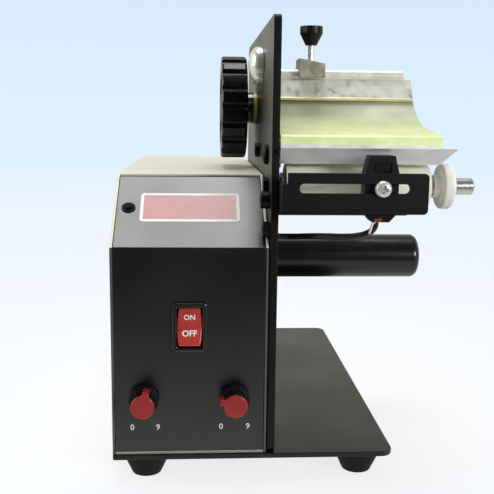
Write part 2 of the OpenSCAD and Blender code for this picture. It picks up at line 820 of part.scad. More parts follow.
// Floor of the box with upturned lips at its left side and its back
module floor_pan() {
    pan_x1 = box_w - panel_x0;
    pan_y1 = box_d - sheet_t - panel_gap;
    lip_y0 = panel_t + over;
    color([0.87, 0.85, 0.76]) place() difference() {
        union() {
            translate([panel_x0, 0, 0]) cube([pan_x1 - panel_x0, pan_y1, pan_t]);
            translate([panel_x0, lip_y0, 0]) cube([sheet_t, pan_y1 - lip_y0, pan_lip_h]);
            translate([panel_x0, pan_y1 - sheet_t, 0]) cube([pan_x1 - panel_x0, sheet_t, pan_lip_h]);
        }
        for (y = cover_screw_ys) rod_x(0, y, pan_lip_z, m3_d + 2 * seat_gap, panel_x0 + sheet_t + over);
        for (x = rear_screw_xs)
            rod_y(x, pan_y1 - sheet_t - over, pan_lip_z, m3_d + 2 * seat_gap, sheet_t + 2 * over);
        for (y = angle_screw_ys) translate([angle_base_x, y, -over])
            cylinder(d = m4_d + 2 * seat_gap, h = pan_t + 2 * over);
        for (x = foot_xs, y = foot_ys) if (x < pan_x1)
            translate([x, y, -over]) cylinder(d = m4_d + 2 * seat_gap, h = pan_t + 2 * over);
    }
}

// Folded panel: upright part, slope, and a flange that tucks under the cover's top
module front_panel() {
    line = [[0, pan_t], [0, fold_h], [slope_top_y, box_h - sheet_t],
        [slope_top_y + panel_flange_l, box_h - sheet_t]];
    color([0.08, 0.08, 0.09]) place() difference() {
        along_x(panel_x0, panel_w) polygon(ribbon(line, -panel_t));
        translate([panel_mid, panel_t + over, switch_z]) rotate([90, 0, 0])
            linear_extrude(panel_t + 2 * over)
            square([switch_w - 2 * switch_step, switch_h - 2 * switch_step], center = true);
        for (s = [-1, 1]) rod_y(panel_mid + s * knob_spread, -over, knob_z, pot_bush_d + 2 * seat_gap,
            panel_t + 2 * over);
        on_slope() {
            translate([panel_mid - window_w / 2, window_s - window_h / 2, -panel_t - over])
                cube([window_w, window_h, panel_t + 2 * over]);
            translate([button_x, button_s, -panel_t - over])
                cylinder(d = bushing_d + 2 * seat_gap, h = panel_t + 2 * over);
        }
    }
}

module counter_window() {
    color([0.75, 0.15, 0.2, 0.8]) place() on_slope() {
        translate([panel_mid - window_w / 2 + seat_gap, window_s - window_h / 2 + seat_gap, -panel_t])
            cube([window_w - 2 * seat_gap, window_h - 2 * seat_gap, panel_t]);
        translate([panel_mid - window_w / 2, window_s - window_h / 2, -window_t - panel_t])
            translate([-window_lap, -window_lap, 0])
            cube([window_w + 2 * window_lap, window_h + 2 * window_lap, window_t]);
    }
}

// Circuit board behind the window, with its digit block and the posts that hold it off the window
module display_board() {
    x0 = panel_mid - board_w / 2;
    y0 = window_s - board_h / 2;
    color([0.1, 0.35, 0.2]) place() on_slope() {
        translate([x0, y0, -board_drop - board_t]) cube([board_w, board_h, board_t]);
        translate([panel_mid - digit_w / 2, window_s - digit_h / 2, -board_drop])
            cube([digit_w, digit_h, digit_t]);
        for (x = [post_inset, board_w - post_inset], y = [post_inset, board_h - post_inset])
            translate([x0 + x, y0 + y, -board_drop])
                cylinder(d = post_d, h = board_drop - window_t - panel_t);
    }
}

module reset_button() {
    color([0.06, 0.06, 0.06]) place() on_slope() translate([button_x, button_s, 0]) {
        translate([0, 0, -button_in]) cylinder(d = button_d, h = button_in + button_out);
        translate([0, 0, -button_in - reset_head_t]) cylinder(d = reset_head_d, h = reset_head_t);
    }
}

module button_bushing() {
    wall = 0.8;
    color([0.12, 0.12, 0.12]) place() on_slope() translate([button_x, button_s, 0]) difference() {
        union() {
            cylinder(d = bushing_flange_d, h = bushing_flange_t);
            translate([0, 0, -bushing_l]) cylinder(d = bushing_d, h = bushing_l);
            translate([0, 0, -bushing_l - wall]) cylinder(d = bushing_flange_d, h = bushing_l - panel_t);
        }
        translate([0, 0, -button_in - over]) cylinder(d = button_d + 2 * run_gap, h = bushing_l + 2 * over);
        translate([0, 0, -bushing_l])
            cylinder(d = reset_head_d + 2 * seat_gap, h = bushing_l - button_in + seat_gap);
    }
}

// Black bezel in the panel, with the switch body behind it and the well that the rocker tips in
module rocker_bezel() {
    color([0.05, 0.05, 0.05]) place() difference() {
        union() {
            translate([panel_mid - switch_w / 2, 0, switch_z - switch_h / 2]) rotate([90, 0, 0])
                linear_extrude(bezel_out) round_rect(switch_w, switch_h, bezel_r);
            translate([panel_mid - switch_body_w / 2, 0, switch_z - switch_body_h / 2])
                cube([switch_body_w, switch_body_d, switch_body_h]);
        }
        translate([panel_mid - cavity_w / 2, -bezel_out - over, switch_z - cavity_h / 2])
            cube([cavity_w, bezel_out + over + switch_body_d - switch_back_t, cavity_h]);
        rod_x(panel_mid - cavity_w / 2 - rocker_pin_l, rocker_pivot_y, switch_z, rocker_pin_d + 2 * run_gap,
            cavity_w + 2 * rocker_pin_l);
    }
}

// Rocker: a round-ended key with a shallow valley across its face, its upper half pressed in
module rocker() {
    tip_z = sqrt(rocker_r * rocker_r - rocker_out * rocker_out);
    back_z = sqrt(rocker_r * rocker_r - rocker_in * rocker_in);
    color([0.75, 0.08, 0.08]) place() translate([0, rocker_pivot_y, switch_z]) rotate([-rocker_tilt, 0, 0]) {
        intersection() {
            rod_x(panel_mid - rocker_w / 2, 0, 0, 2 * rocker_r, rocker_w);
            along_x(panel_mid - rocker_w / 2, rocker_w) polygon([[-rocker_out, tip_z],
                [-rocker_out + rocker_dip, 0], [-rocker_out, -tip_z], [0, -rocker_r], [rocker_in, -back_z],
                [rocker_in, back_z], [0, rocker_r]]);
        }
        rod_x(panel_mid - rocker_w / 2 - rocker_pin_l, 0, 0, rocker_pin_d, rocker_w + 2 * rocker_pin_l);
    }
}

// Both potentiometers: round body behind the panel, threaded neck and nut in front of it
module potentiometers() {
    color([0.55, 0.55, 0.5]) place() for (s = [-1, 1]) difference() {
        union() {
            rod_y(panel_mid + s * knob_spread, panel_t, knob_z, pot_body_d, pot_body_h);
            rod_y(panel_mid + s * knob_spread, -pot_nut_t, knob_z, pot_bush_d, pot_nut_t + panel_t);
            translate([panel_mid + s * knob_spread, 0, knob_z]) rotate([90, 0, 0])
                cylinder(d = pot_nut_d, h = pot_nut_t, $fn = 6);
        }
        rod_y(panel_mid + s * knob_spread, -pot_nut_t - over, knob_z, pot_shaft_d + 2 * run_gap,
            pot_nut_t + over + panel_t + shaft_in + seat_gap);
    }
}

module knob_shaft(s) {
    color([0.7, 0.7, 0.68]) place() rod_y(panel_mid + s * knob_spread, -knob_out + cap_t + cap_seat, knob_z,
        pot_shaft_d, knob_out - cap_t - cap_seat + panel_t + shaft_in);
}

// Black knob: skirt, fluted body, a recess for the cap and a hollow over the nut
module knob_body(s) {
    color([0.06, 0.06, 0.06]) place() translate([panel_mid + s * knob_spread, 0, knob_z]) rotate([90, 0, 0])
        difference() {
            union() {
                translate([0, 0, knob_lift]) cylinder(d = knob_d, h = skirt_h);
                translate([0, 0, knob_lift]) cylinder(d = knob_body_d, h = knob_out - knob_lift - cap_t);
            }
            for (i = [0:knob_flutes - 1]) rotate(i * 360 / knob_flutes)
                translate([knob_body_d / 2 + knob_flute_r / 2, 0, knob_lift + skirt_h + knob_flute_rise])
                cylinder(r = knob_flute_r, h = knob_out, $fn = 16);
            cylinder(d = pot_nut_d + 2 * free_gap, h = pot_nut_t + free_gap);
            cylinder(d = pot_shaft_d, h = knob_out - cap_t - cap_seat);
        }
}

// Red cap with a raised pointer that runs out past the knob's rim and down its side
module knob_cap(s, turn) {
    color([0.72, 0.07, 0.07]) place() translate([panel_mid + s * knob_spread, 0, knob_z]) rotate([90, 0, 0])
        rotate(turn) {
            translate([0, 0, knob_out - cap_t]) cylinder(d = cap_d, h = cap_t);
            difference() {
                translate([-pointer_w / 2, 0, knob_out - pointer_drop])
                    cube([pointer_w, pointer_r, pointer_drop]);
                translate([0, 0, knob_out - pointer_drop - over])
                    cylinder(d = knob_body_d, h = pointer_drop - cap_t + over);
            }
        }
}

module length_shaft() { knob_shaft(-1); }
module speed_shaft() { knob_shaft(1); }
module length_knob() { knob_body(-1); }
module speed_knob() { knob_body(1); }
module length_knob_cap() { knob_cap(-1, length_turn); }
module speed_knob_cap() { knob_cap(1, speed_turn); }

// Barrel socket in the back of the box, with its contact pin
module dc_inlet() {
    color([0.07, 0.07, 0.07]) place() {
        difference() {
            union() {
                rod_y(inlet_x, box_d, inlet_z, inlet_flange_d, inlet_flange_t);
                rod_y(inlet_x, box_d - inlet_body_l, inlet_z, inlet_d, inlet_body_l);
                rod_y(inlet_x, box_d - sheet_t - pot_nut_t, inlet_z, inlet_flange_d, pot_nut_t);
            }
            rod_y(inlet_x, box_d + inlet_flange_t - inlet_bore_l, inlet_z, inlet_bore_d, inlet_bore_l + over);
        }
        rod_y(inlet_x, box_d + inlet_flange_t - inlet_bore_l, inlet_z, inlet_pin_d, inlet_bore_l);
    }
}

// Control board on four posts, with its larger components
module control_board() {
    color([0.1, 0.35, 0.2]) place() translate([pcb_x, pcb_y, 0]) {
        translate([0, 0, pcb_z]) cube([pcb_w, pcb_l, pcb_t]);
        for (x = [pcb_post_inset, pcb_w - pcb_post_inset], y = [pcb_post_inset, pcb_l - pcb_post_inset])
            translate([x, y, pan_t]) cylinder(d = post_d, h = pcb_z - pan_t);
        translate([pcb_post_inset, pcb_post_inset, pcb_z + pcb_t]) cube([sink_w, sink_l, sink_h]);
        translate([pcb_post_inset, pcb_l / 2, pcb_z + pcb_t]) cube([relay_w, relay_l, relay_h]);
        translate([pcb_w - cap_can_d, pcb_l / 2 + cap_can_d, pcb_z + pcb_t])
            cylinder(d = cap_can_d, h = cap_can_h);
    }
}

module motor_bracket() {
    color([0.65, 0.65, 0.65]) place() difference() {
        union() {
            translate([motor_plate_x, motor_y - motor_plate_w / 2, pan_t])
                cube([motor_plate_t, motor_plate_w, motor_z + gearbox_d / 2 - pan_t]);
            translate([motor_plate_x - motor_foot_l, motor_y - motor_plate_w / 2, pan_t])
                cube([motor_foot_l, motor_plate_w, motor_plate_t]);
        }
        rod_x(motor_plate_x - over, motor_y, motor_z, boss_d + 2 * seat_gap, motor_plate_t + 2 * over);
    }
}

module gear_motor() {
    color([0.6, 0.6, 0.62]) place() difference() {
        union() {
            rod_x(motor_plate_x - gearbox_l, motor_y, motor_z, gearbox_d, gearbox_l);
            rod_x(motor_plate_x - gearbox_l - can_l, motor_y, motor_z, can_d, can_l);
            rod_x(motor_plate_x, motor_y, motor_z, boss_d, boss_l);
            rod_x(can_gap, motor_y, motor_z, rear_boss_d, rear_boss_l);
        }
        rod_x(motor_plate_x - motor_shaft_l + boss_l, motor_y, motor_z, shaft_d + 2 * run_gap,
            motor_shaft_l + over);
    }
}

// Flanged pulley on an axis along X, from x
module pulley(y, z) {
    rod_x(pulley_x, y, z, pulley_d, pulley_w);
    rod_x(pulley_x, y, z, pulley_flange_d, pulley_flange_t);
    rod_x(pulley_x + pulley_w - pulley_flange_t, y, z, pulley_flange_d, pulley_flange_t);
}

module motor_pulley() {
    color([0.7, 0.7, 0.72]) place() {
        pulley(motor_y, motor_z);
        rod_x(motor_plate_x - motor_shaft_l + boss_l + seat_gap, motor_y, motor_z, shaft_d,
            pulley_x - motor_plate_x + motor_shaft_l - boss_l - seat_gap);
    }
}

module drive_pulley() {
    color([0.7, 0.7, 0.72]) place() difference() {
        pulley(drive_y, drive_z);
        rod_x(pulley_x - over, drive_y, drive_z, shaft_d, pulley_w + 2 * over);
    }
}

// Belt round both pulleys, with a small running gap
module drive_belt() {
    r = pulley_d / 2 + belt_gap;
    color([0.05, 0.05, 0.05]) place() along_x(pulley_x + (pulley_w - belt_w) / 2, belt_w) difference() {
        hull() {
            translate([drive_y, drive_z]) circle(r + belt_t);
            translate([motor_y, motor_z]) circle(r + belt_t);
        }
        hull() {
            translate([drive_y, drive_z]) circle(r);
            translate([motor_y, motor_z]) circle(r);
        }
    }
}

module drive_shaft() {
    color([0.75, 0.75, 0.75]) place()
        rod_x(pulley_x, drive_y, drive_z, shaft_d, face_x + roller_x + roller_l + over - pulley_x);
}

module drive_roller() {
    color([0.12, 0.12, 0.12]) place() difference() {
        rod_x(face_x + roller_x, drive_y, drive_z, drive_d, roller_l);
        rod_x(face_x + roller_x - over, drive_y, drive_z, shaft_d, roller_l + 2 * over);
    }
}

// Fixed axle: a shoulder against the side plate, a riveted end through it and a rim that holds the roller
module fixed_axle(y, z, d, l, cap_w) {
    rod_x(face_x, y, z, d, l);
    rod_x(face_x, y, z, axle_shoulder_d, axle_shoulder_l);
    rod_x(plate_x - over, y, z, m5_d, plate_t + over);
    rod_x(face_x + l, y, z, d + cap_w, axle_shoulder_l);
}

module pinch_axle() {
    color([0.75, 0.75, 0.75]) place()
        fixed_axle(pinch_y, drive_z, shaft_d, roller_x + roller_l + free_gap, bush_wall);
}

module pinch_roller() {
    color([0.8, 0.78, 0.7]) place() difference() {
        rod_x(face_x + roller_x, pinch_y, drive_z, pinch_d, roller_l);
        rod_x(face_x + roller_x - over, pinch_y, drive_z, shaft_d + 2 * run_gap, roller_l + 2 * over);
    }
}

// Guide shaft: shoulder against the bracket's flange, tapped end for its screw, chamfered free end
module guide_shaft() {
    chamfer = 0.8;
    x0 = face_x + bracket_t;
    color([0.82, 0.82, 0.84]) place() difference() {
        union() {
            turned_x(x0, guide_y, guide_z) polygon([[0, 0], [guide_d / 2, 0],
                [guide_d / 2, guide_l - bracket_t - chamfer], [guide_d / 2 - chamfer, guide_l - bracket_t],
                [0, guide_l - bracket_t]]);
            rod_x(x0, guide_y, guide_z, shoulder_d, idler_x - bracket_t - free_gap);
        }
        rod_x(x0 - over, guide_y, guide_z, m4_d, guide_tap_l);
    }
}

module shaft_screw() {
    color([0.8, 0.8, 0.82]) place() {
        rod_x(plate_x - m4_head_h, guide_y, guide_z, m4_head_d, m4_head_h);
        rod_x(plate_x, guide_y, guide_z, m4_d, plate_t + bracket_t + shaft_screw_in);
    }
}

module liner_idler() {
    color([0.85, 0.82, 0.72]) place() difference() {
        rod_x(face_x + idler_x, guide_y, guide_z, idler_d, idler_l);
        rod_x(face_x + idler_x - over, guide_y, guide_z, guide_d + 2 * run_gap, idler_l + 2 * over);
    }
}

// Thick nylon disc with a rounded rim
module liner_disc() {
    r = disc_d / 2;
    color([0.95, 0.95, 0.93]) place() difference() {
        turned_x(face_x + disc_x, guide_y, guide_z) {
            square([r - disc_rim_r, disc_w]);
            translate([0, disc_rim_r]) square([r, disc_w - 2 * disc_rim_r]);
            for (h = [disc_rim_r, disc_w - disc_rim_r]) translate([r - disc_rim_r, h]) circle(disc_rim_r);
        }
        rod_x(face_x + disc_x - over, guide_y, guide_z, guide_d + 2 * run_gap, disc_w + 2 * over);
    }
}

// Platform sheet: top, sharp peel edge, sloping lip under it, and a flange bolted to the side plate
module peel_plate() {
    line = [[deck_y0 + lip_d, deck_z - lip_h], [deck_y0, deck_z], [deck_back, deck_z]];
    color([0.8, 0.8, 0.8]) place() difference() {
        union() {
            along_x(deck_x0, deck_w - deck_gap) polygon(ribbon(line, -deck_t));
            along_x(face_x, flange_t) translate([flange_y0, deck_z - deck_t - flange_h])
                square([flange_y1 - flange_y0, flange_h]);
            along_x(face_x, deck_x0 + deck_t - face_x) translate([flange_y0, deck_z - deck_t])
                square([flange_y1 - flange_y0, deck_t]);
        }
        for (b = flange_bolts)
            rod_x(face_x - over, b[0], deck_z - flange_bolt_drop, b[1], flange_t + 2 * over);
        for (x = curve_screw_xs) translate([x, curve_foot_y + foot_l / 2, deck_z - deck_t - over])
            cylinder(d = curve_screw_d, h = deck_t + 2 * over);
        translate([face_x + deck_w, deck_y0, deck_z - lip_h - over]) rotate([0, 0, deck_cut_a])
            cube([deck_w, 2 * lip_d, lip_h + over - deck_t]);
    }
}

// S-shaped sheet that carries the label strip, cut back round the swing of the press bar's bracket
module curved_sheet() {
    color([0.75, 0.8, 0.6]) place() difference() {
        along_x(face_x + deck_gap, curve_w - deck_gap) polygon(ribbon(curve_route, curve_t));
        rod_x(face_x, bar_y, slot_z, 2 * (tab_reach + free_gap), bar_bracket_t + free_gap);
        for (x = curve_screw_xs) translate([x, curve_foot_y + foot_l / 2, deck_z - over])
            cylinder(d = curve_screw_d, h = curve_t + 2 * over);
    }
}

// Black bolts in the side plate: two for the platform, one for the sensor bracket, one spare
module platform_bolts() {
    front = flange_bolts[0];
    rear = flange_bolts[1];
    bolt_z = deck_z - flange_bolt_drop;
    head_h = button_rim_h + button_dome_h;
    color([0.08, 0.08, 0.08]) place() {
        difference() {
            turned_x(plate_x - head_h, front[0], bolt_z)
                polygon(dome_profile(button_head_d / 2, button_rim_h, button_dome_h));
            translate([plate_x - head_h - over, front[0], bolt_z]) rotate([0, 90, 0])
                cylinder(d = hex_key_d, h = button_dome_h + over, $fn = 6);
        }
        rod_x(plate_x, front[0], bolt_z, front[1], plate_t + flange_t + over);
        socket_screw(plate_x, rear[0], bolt_z, rear[1], m4_head_d, m4_head_h, plate_t + flange_t + over);
        socket_screw(plate_x, bracket_bolt_y, bracket_bolt_z, m5_d, lug_head_d, m5_head_h,
            plate_t + bracket_t + over);
        socket_screw(plate_x, spare_bolt_y, spare_bolt_z, m4_d, m4_head_d, lug_head_h, plate_t);
    }
}

// End bracket of the press bar: a tab on the right of the side plate, with a boss in the slot
module bar_bracket() {
    color([0.7, 0.7, 0.68]) place() difference() {
        union() {
            along_x(face_x + seat_gap, bar_bracket_t - seat_gap) translate([bar_y - bracket_half, tab_low_z])
                round_rect(2 * bracket_half, slot_z + bar_bracket_top - tab_low_z, bar_corner_r);
            rod_x(plate_x + seat_gap, bar_y, slot_z, 2 * boss_r, plate_t);
        }
        rod_x(face_x - over, bar_y, bar_z, bar_spigot_d, bar_bracket_t + 2 * over);
        rod_x(plate_x - over, bar_y, slot_z, m5_d, plate_t + bar_bracket_t + 2 * over);
    }
}

// Clamp of the bracket: a flush stud pressed into it and a wide domed nut on the left
module bar_nut() {
    x0 = plate_x - seat_gap;
    color([0.85, 0.85, 0.87]) place() {
        turned_x(x0 - nut_rim_h - nut_dome_h, bar_y, slot_z)
            polygon(dome_profile(nut_d / 2, nut_rim_h, nut_dome_h));
        rod_x(x0, bar_y, slot_z, m5_d, face_x + bar_bracket_t - x0);
    }
}

// Section of the leaf, pressed into a groove along the bar
module leaf_section(x, l) {
    along_x(x, l) polygon([leaf_low + leaf_half, leaf_top + leaf_half, leaf_top - leaf_half,
        leaf_low - leaf_half]);
}

module press_bar() {
    chamfer = 0.5;
    color([0.9, 0.9, 0.9]) place() difference() {
        union() {
            turned_x(face_x + bar_bracket_t, bar_y, bar_z) polygon([[0, 0], [bar_d / 2, 0],
                [bar_d / 2, bar_l - bar_bracket_t - chamfer], [bar_d / 2 - chamfer, bar_l - bar_bracket_t],
                [0, bar_l - bar_bracket_t]]);
            rod_x(face_x + seat_gap, bar_y, bar_z, bar_spigot_d, bar_bracket_t);
        }
        leaf_section(face_x + bar_bracket_t - over, bar_l + over);
    }
}

// Spring leaf with a rolled hem along its lower edge
module press_leaf() {
    x0 = face_x + bar_bracket_t + leaf_gap;
    l = leaf_end_x - bar_bracket_t - leaf_gap;
    color([0.75, 0.75, 0.73]) place() {
        leaf_section(x0, l);
        rod_x(x0, leaf_low[0], leaf_low[1], hem_d, l);
    }
}

// Saddle over the press bar with a sloping top
module guide_block() {
    x0 = face_x + block_x;
    low_z = bar_z - block_under;
    color([0.4, 0.38, 0.36]) place() difference() {
        translate([x0, bar_y + block_d / 2, 0]) rotate([90, 0, 0]) linear_extrude(block_d)
            polygon([[0, low_z], [block_w, low_z], [block_w, bar_z + block_h - block_fall],
                [0, bar_z + block_h]]);
        rod_x(x0 - over, bar_y, bar_z, bar_d + 2 * run_gap, block_w + 2 * over);
        translate([x0 - over, bar_y - bar_d / 2 - run_gap, low_z - over])
            cube([block_w + 2 * over, bar_d + 2 * run_gap, block_under + over]);
        translate([x0 + block_w / 2, bar_y, bar_z])
            cylinder(d = thumb_rod_d + 2 * run_gap, h = block_h + over);
    }
}

// Screw with a tapered, fluted plastic knob
module thumb_screw() {
    rod_low = bar_d / 2 + thumb_reach;
    rod_top = block_h + thumb_gap_h;
    color([0.07, 0.07, 0.07]) place() translate([face_x + block_x + block_w / 2, bar_y, bar_z]) {
        translate([0, 0, rod_low]) cylinder(d = thumb_rod_d, h = rod_top - rod_low);
        translate([0, 0, rod_top]) difference() {
            union() {
                cylinder(d1 = thumb_neck_d, d2 = thumb_d, h = thumb_h * thumb_taper_share);
                translate([0, 0, thumb_h * thumb_taper_share])
                    cylinder(d = thumb_d, h = thumb_h * (1 - thumb_taper_share));
            }
            for (i = [0:thumb_ribs - 1]) rotate(i * 360 / thumb_ribs)
                translate([thumb_d / 2 + thumb_rib_r / 2, 0, thumb_h * thumb_flute_share])
                cylinder(r = thumb_rib_r, h = thumb_h, $fn = 16);
        }
    }
}

// Bent bracket: a slotted bar across the front, a notch at the bend and a flange along the side plate
module sensor_bracket() {
    y0 = -bracket_front;
    color([0.05, 0.05, 0.05]) place() difference() {
        union() {
            translate([face_x, y0 + bracket_t, bracket_z]) rotate([90, 0, 0])
                linear_extrude(bracket_t) round_rect(bracket_w, bracket_h, bracket_r);
            translate([face_x, y0 + bracket_t - seat_gap, bracket_z])
                cube([bracket_t, bracket_front + flange_back - bracket_t, bracket_h - notch_h]);
        }
        translate([face_x - over, y0 - over, bracket_z + bracket_h - notch_h])
            cube([notch_w + over, bracket_front + over, notch_h + over]);
        translate([face_x + slot_lo_x + slot_h / 2, y0 + bracket_t + over, bracket_z + slot_mid])
            rotate([90, 0, 0]) linear_extrude(bracket_t + 2 * over)
            long_hole(slot_hi_x - slot_lo_x - slot_h, slot_h / 2);
        rod_x(face_x - over, bracket_bolt_y, bracket_bolt_z, m5_d, bracket_t + 2 * over);
        rod_x(face_x - over, guide_y, guide_z, m4_d + 2 * seat_gap, bracket_t + 2 * over);
    }
}

// Sensor: body behind the bracket, tapered head above it and a rounded chin below it
module sensor_body() {
    xm = face_x + sensor_x;
    y0 = sensor_y0;
    top_z = bracket_z + bracket_h;
    chin_r = sensor_low_w / 2;
    color([0.05, 0.05, 0.05]) place() difference() {
        union() {
            translate([xm, y0 + sensor_d, 0]) rotate([90, 0, 0]) linear_extrude(sensor_d) {
                polygon([[-sensor_w / 2, bracket_z], [sensor_w / 2, bracket_z], [sensor_w / 2, top_z],
                    [sensor_top_w / 2, top_z + sensor_top], [-sensor_top_w / 2, top_z + sensor_top],
                    [-sensor_w / 2, top_z]]);
                polygon([[-sensor_w / 2 + sensor_gap, bracket_z], [-chin_r, bracket_z - sensor_low],
                    [chin_r, bracket_z - sensor_low], [sensor_w / 2 - sensor_gap, bracket_z]]);
            }
            translate([xm - key_w / 2, y0 - sensor_gap - bracket_t / 2, bracket_z + slot_mid - key_h / 2])
                cube([key_w, bracket_t, key_h]);
        }
        translate([xm - sensor_eye_w / 2, y0 - over, top_z + sensor_gap])
            cube([sensor_eye_w, over + sensor_eye_d, sensor_eye_h]);
        rod_y(xm, y0 - bracket_t - over, bracket_z + slot_mid, m3_d,
            bracket_t + over + sensor_d - sensor_eye_d);
    }
}

module sensor_screw() {
    xm = face_x + sensor_x;
    cross_w = 1.1;
    cross_l = 4.4;
    cross_h = 1.3;
    color([0.85, 0.85, 0.87]) place() difference() {
        union() {
            rod_y(xm, -bracket_front - m4_head_h, bracket_z + slot_mid, m4_head_d, m4_head_h);
            rod_y(xm, -bracket_front, bracket_z + slot_mid, m3_d, bracket_t + sensor_gap + sensor_d / 2);
        }
        for (a = [0, 90]) translate([xm, -bracket_front - m4_head_h + cross_h, bracket_z + slot_mid])
            rotate([90, a, 0]) linear_extrude(cross_h + over) square([cross_l, cross_w], center = true);
    }
}

// Rings round a route's points, as one closed polyhedron
module swept_tube(pts, r, n) {
    dirs = [for (i = [0:len(pts) - 1]) unit(pts[min(i + 1, len(pts) - 1)] - pts[max(i - 1, 0)])];
    up = [0, 0, 1];
    rings = [for (i = [0:len(pts) - 1])
        let(a = unit(cross(dirs[i], i == 0 ? [0, 1, 0] : up)), b = cross(a, dirs[i]))
        for (k = [0:n - 1]) pts[i] + r * (cos(k * 360 / n) * a + sin(k * 360 / n) * b)];
    sides = [for (i = [0:len(pts) - 2], k = [0:n - 1])
        [i * n + k, i * n + (k + 1) % n, (i + 1) * n + (k + 1) % n, (i + 1) * n + k]];
    polyhedron(rings, concat(sides, [[for (k = [n - 1:-1:0]) k]],
        [[for (k = [0:n - 1]) (len(pts) - 1) * n + k]]));
}

module sensor_cable() {
    color([0.05, 0.05, 0.05]) place() swept_tube(cable_points, cable_d / 2, cable_sides);
}

module spindle_axle() {
    color([0.75, 0.75, 0.75]) place()
        fixed_axle(spindle_y, spindle_z, spindle_axle_d, spindle_l - spindle_dome_r, 0);
}

// Plastic spindle tube with a domed end, running on two rings inside
module supply_spindle() {
    r = spindle_d / 2;
    l = spindle_l - spindle_gap;
    axle_r = spindle_axle_d / 2 + run_gap;
    color([0.05, 0.05, 0.05]) place() turned_x(face_x + spindle_gap, spindle_y, spindle_z) difference() {
        union() {
            square([r, l - spindle_dome_r]);
            square([r - spindle_dome_r, l]);
            translate([r - spindle_dome_r, l - spindle_dome_r]) circle(spindle_dome_r);
        }
        translate([0, -over]) square([axle_r, l - spindle_wall + over]);
        translate([0, spindle_rib_l]) square([r - spindle_wall, l - 2 * spindle_rib_l]);
        translate([-r, -over]) square([r, l + 2 * over]);
    }
}

module brake_shaft() {
    color([0.75, 0.75, 0.75]) place() {
        rod_x(plate_x - zinc_t - wheel_hub_l - wheel_w + wheel_dish_h, brake_y, brake_z, shaft_d,
            wheel_w - wheel_dish_h + wheel_hub_l + zinc_t + plate_t + roller_x + roller_l + brake_shaft_end);
    }
}

module brake_roller() {
    color([0.5, 0.5, 0.5]) place() difference() {
        rod_x(face_x + roller_x, brake_y, brake_z, brake_roller_d, roller_l);
        rod_x(face_x + roller_x - over, brake_y, brake_z, shaft_d, roller_l + 2 * over);
    }
}

module brake_washer() {
    color([0.8, 0.75, 0.35]) place() difference() {
        rod_x(plate_x - zinc_t - seat_gap, brake_y, brake_z, zinc_d, zinc_t);
        rod_x(plate_x - zinc_t - over, brake_y, brake_z, shaft_d, zinc_t + 2 * over);
    }
}

// Moulded hand wheel: fluted rim with rounded edges, dished face, hub towards the side plate
module brake_wheel() {
    x1 = plate_x - zinc_t - seat_gap - wheel_hub_l;
    r = wheel_d / 2;
    e = wheel_edge_r;
    color([0.05, 0.05, 0.05]) place() difference() {
        union() {
            turned_x(x1 - wheel_w, brake_y, brake_z) {
                square([r - e, wheel_w]);
                translate([0, e]) square([r, wheel_w - 2 * e]);
                for (h = [e, wheel_w - e]) translate([r - e, h]) intersection() {
                    circle(e);
                    translate([-e, -e]) square([2 * e, 2 * e]);
                }
            }
            rod_x(x1, brake_y, brake_z, hub_d, wheel_hub_l);
        }
        for (i = [0:wheel_flutes - 1])
            translate([x1 - wheel_w - over, brake_y, brake_z]) rotate([0, 90, 0])
            rotate(flute_turn + i * 360 / wheel_flutes) translate([r + flute_out, 0, 0])
            cylinder(r = flute_r, h = wheel_w + 2 * over, $fn = 24);
        difference() {
            rod_x(x1 - wheel_w - over, brake_y, brake_z, wheel_dish_d, wheel_dish_h + over);
            rod_x(x1 - wheel_w - over, brake_y, brake_z, wheel_cap_d, wheel_dish_h + over);
        }
        rod_x(x1 - wheel_w + wheel_dish_h, brake_y, brake_z, shaft_d, wheel_w + wheel_hub_l);
    }
}

base_plate();
rubber_feet();
foot_screws();
side_plate();
plate_angle();
plate_screws();
plate_bushes();
cable_grommet();
cover();
cover_screws();
floor_pan();
front_panel();
counter_window();
display_board();
reset_button();
button_bushing();
rocker_bezel();
rocker();
potentiometers();
length_shaft();
length_knob();
length_knob_cap();
speed_shaft();
speed_knob();
speed_knob_cap();
dc_inlet();
control_board();
motor_bracket();
gear_motor();
motor_pulley();
drive_belt();
drive_pulley();
drive_shaft();
drive_roller();
pinch_axle();
pinch_roller();
guide_shaft();
shaft_screw();
liner_idler();
liner_disc();
peel_plate();
curved_sheet();
platform_bolts();
bar_bracket();
bar_nut();
press_bar();
press_leaf();
guide_block();
thumb_screw();
sensor_bracket();
sensor_body();
sensor_screw();
sensor_cable();
spindle_axle();
supply_spindle();
brake_shaft();
brake_roller();
brake_washer();
brake_wheel();
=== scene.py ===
# %% [markdown]
# A bench-top label dispenser: a cream control box with a black panel, a black side plate, and
# on its right a peel platform, a gap sensor, guide rollers and the spindle that carries the roll.
# The exact solids come packed as a frame, so this lesson only dresses them: it rounds the edges
# that a press brake or a mould rounds, gives each surface its real finish, and adds the print,
# the cable and the small parts that plain solids leave out.

# %% The frame
import json
from math import cos, pi, radians, sin

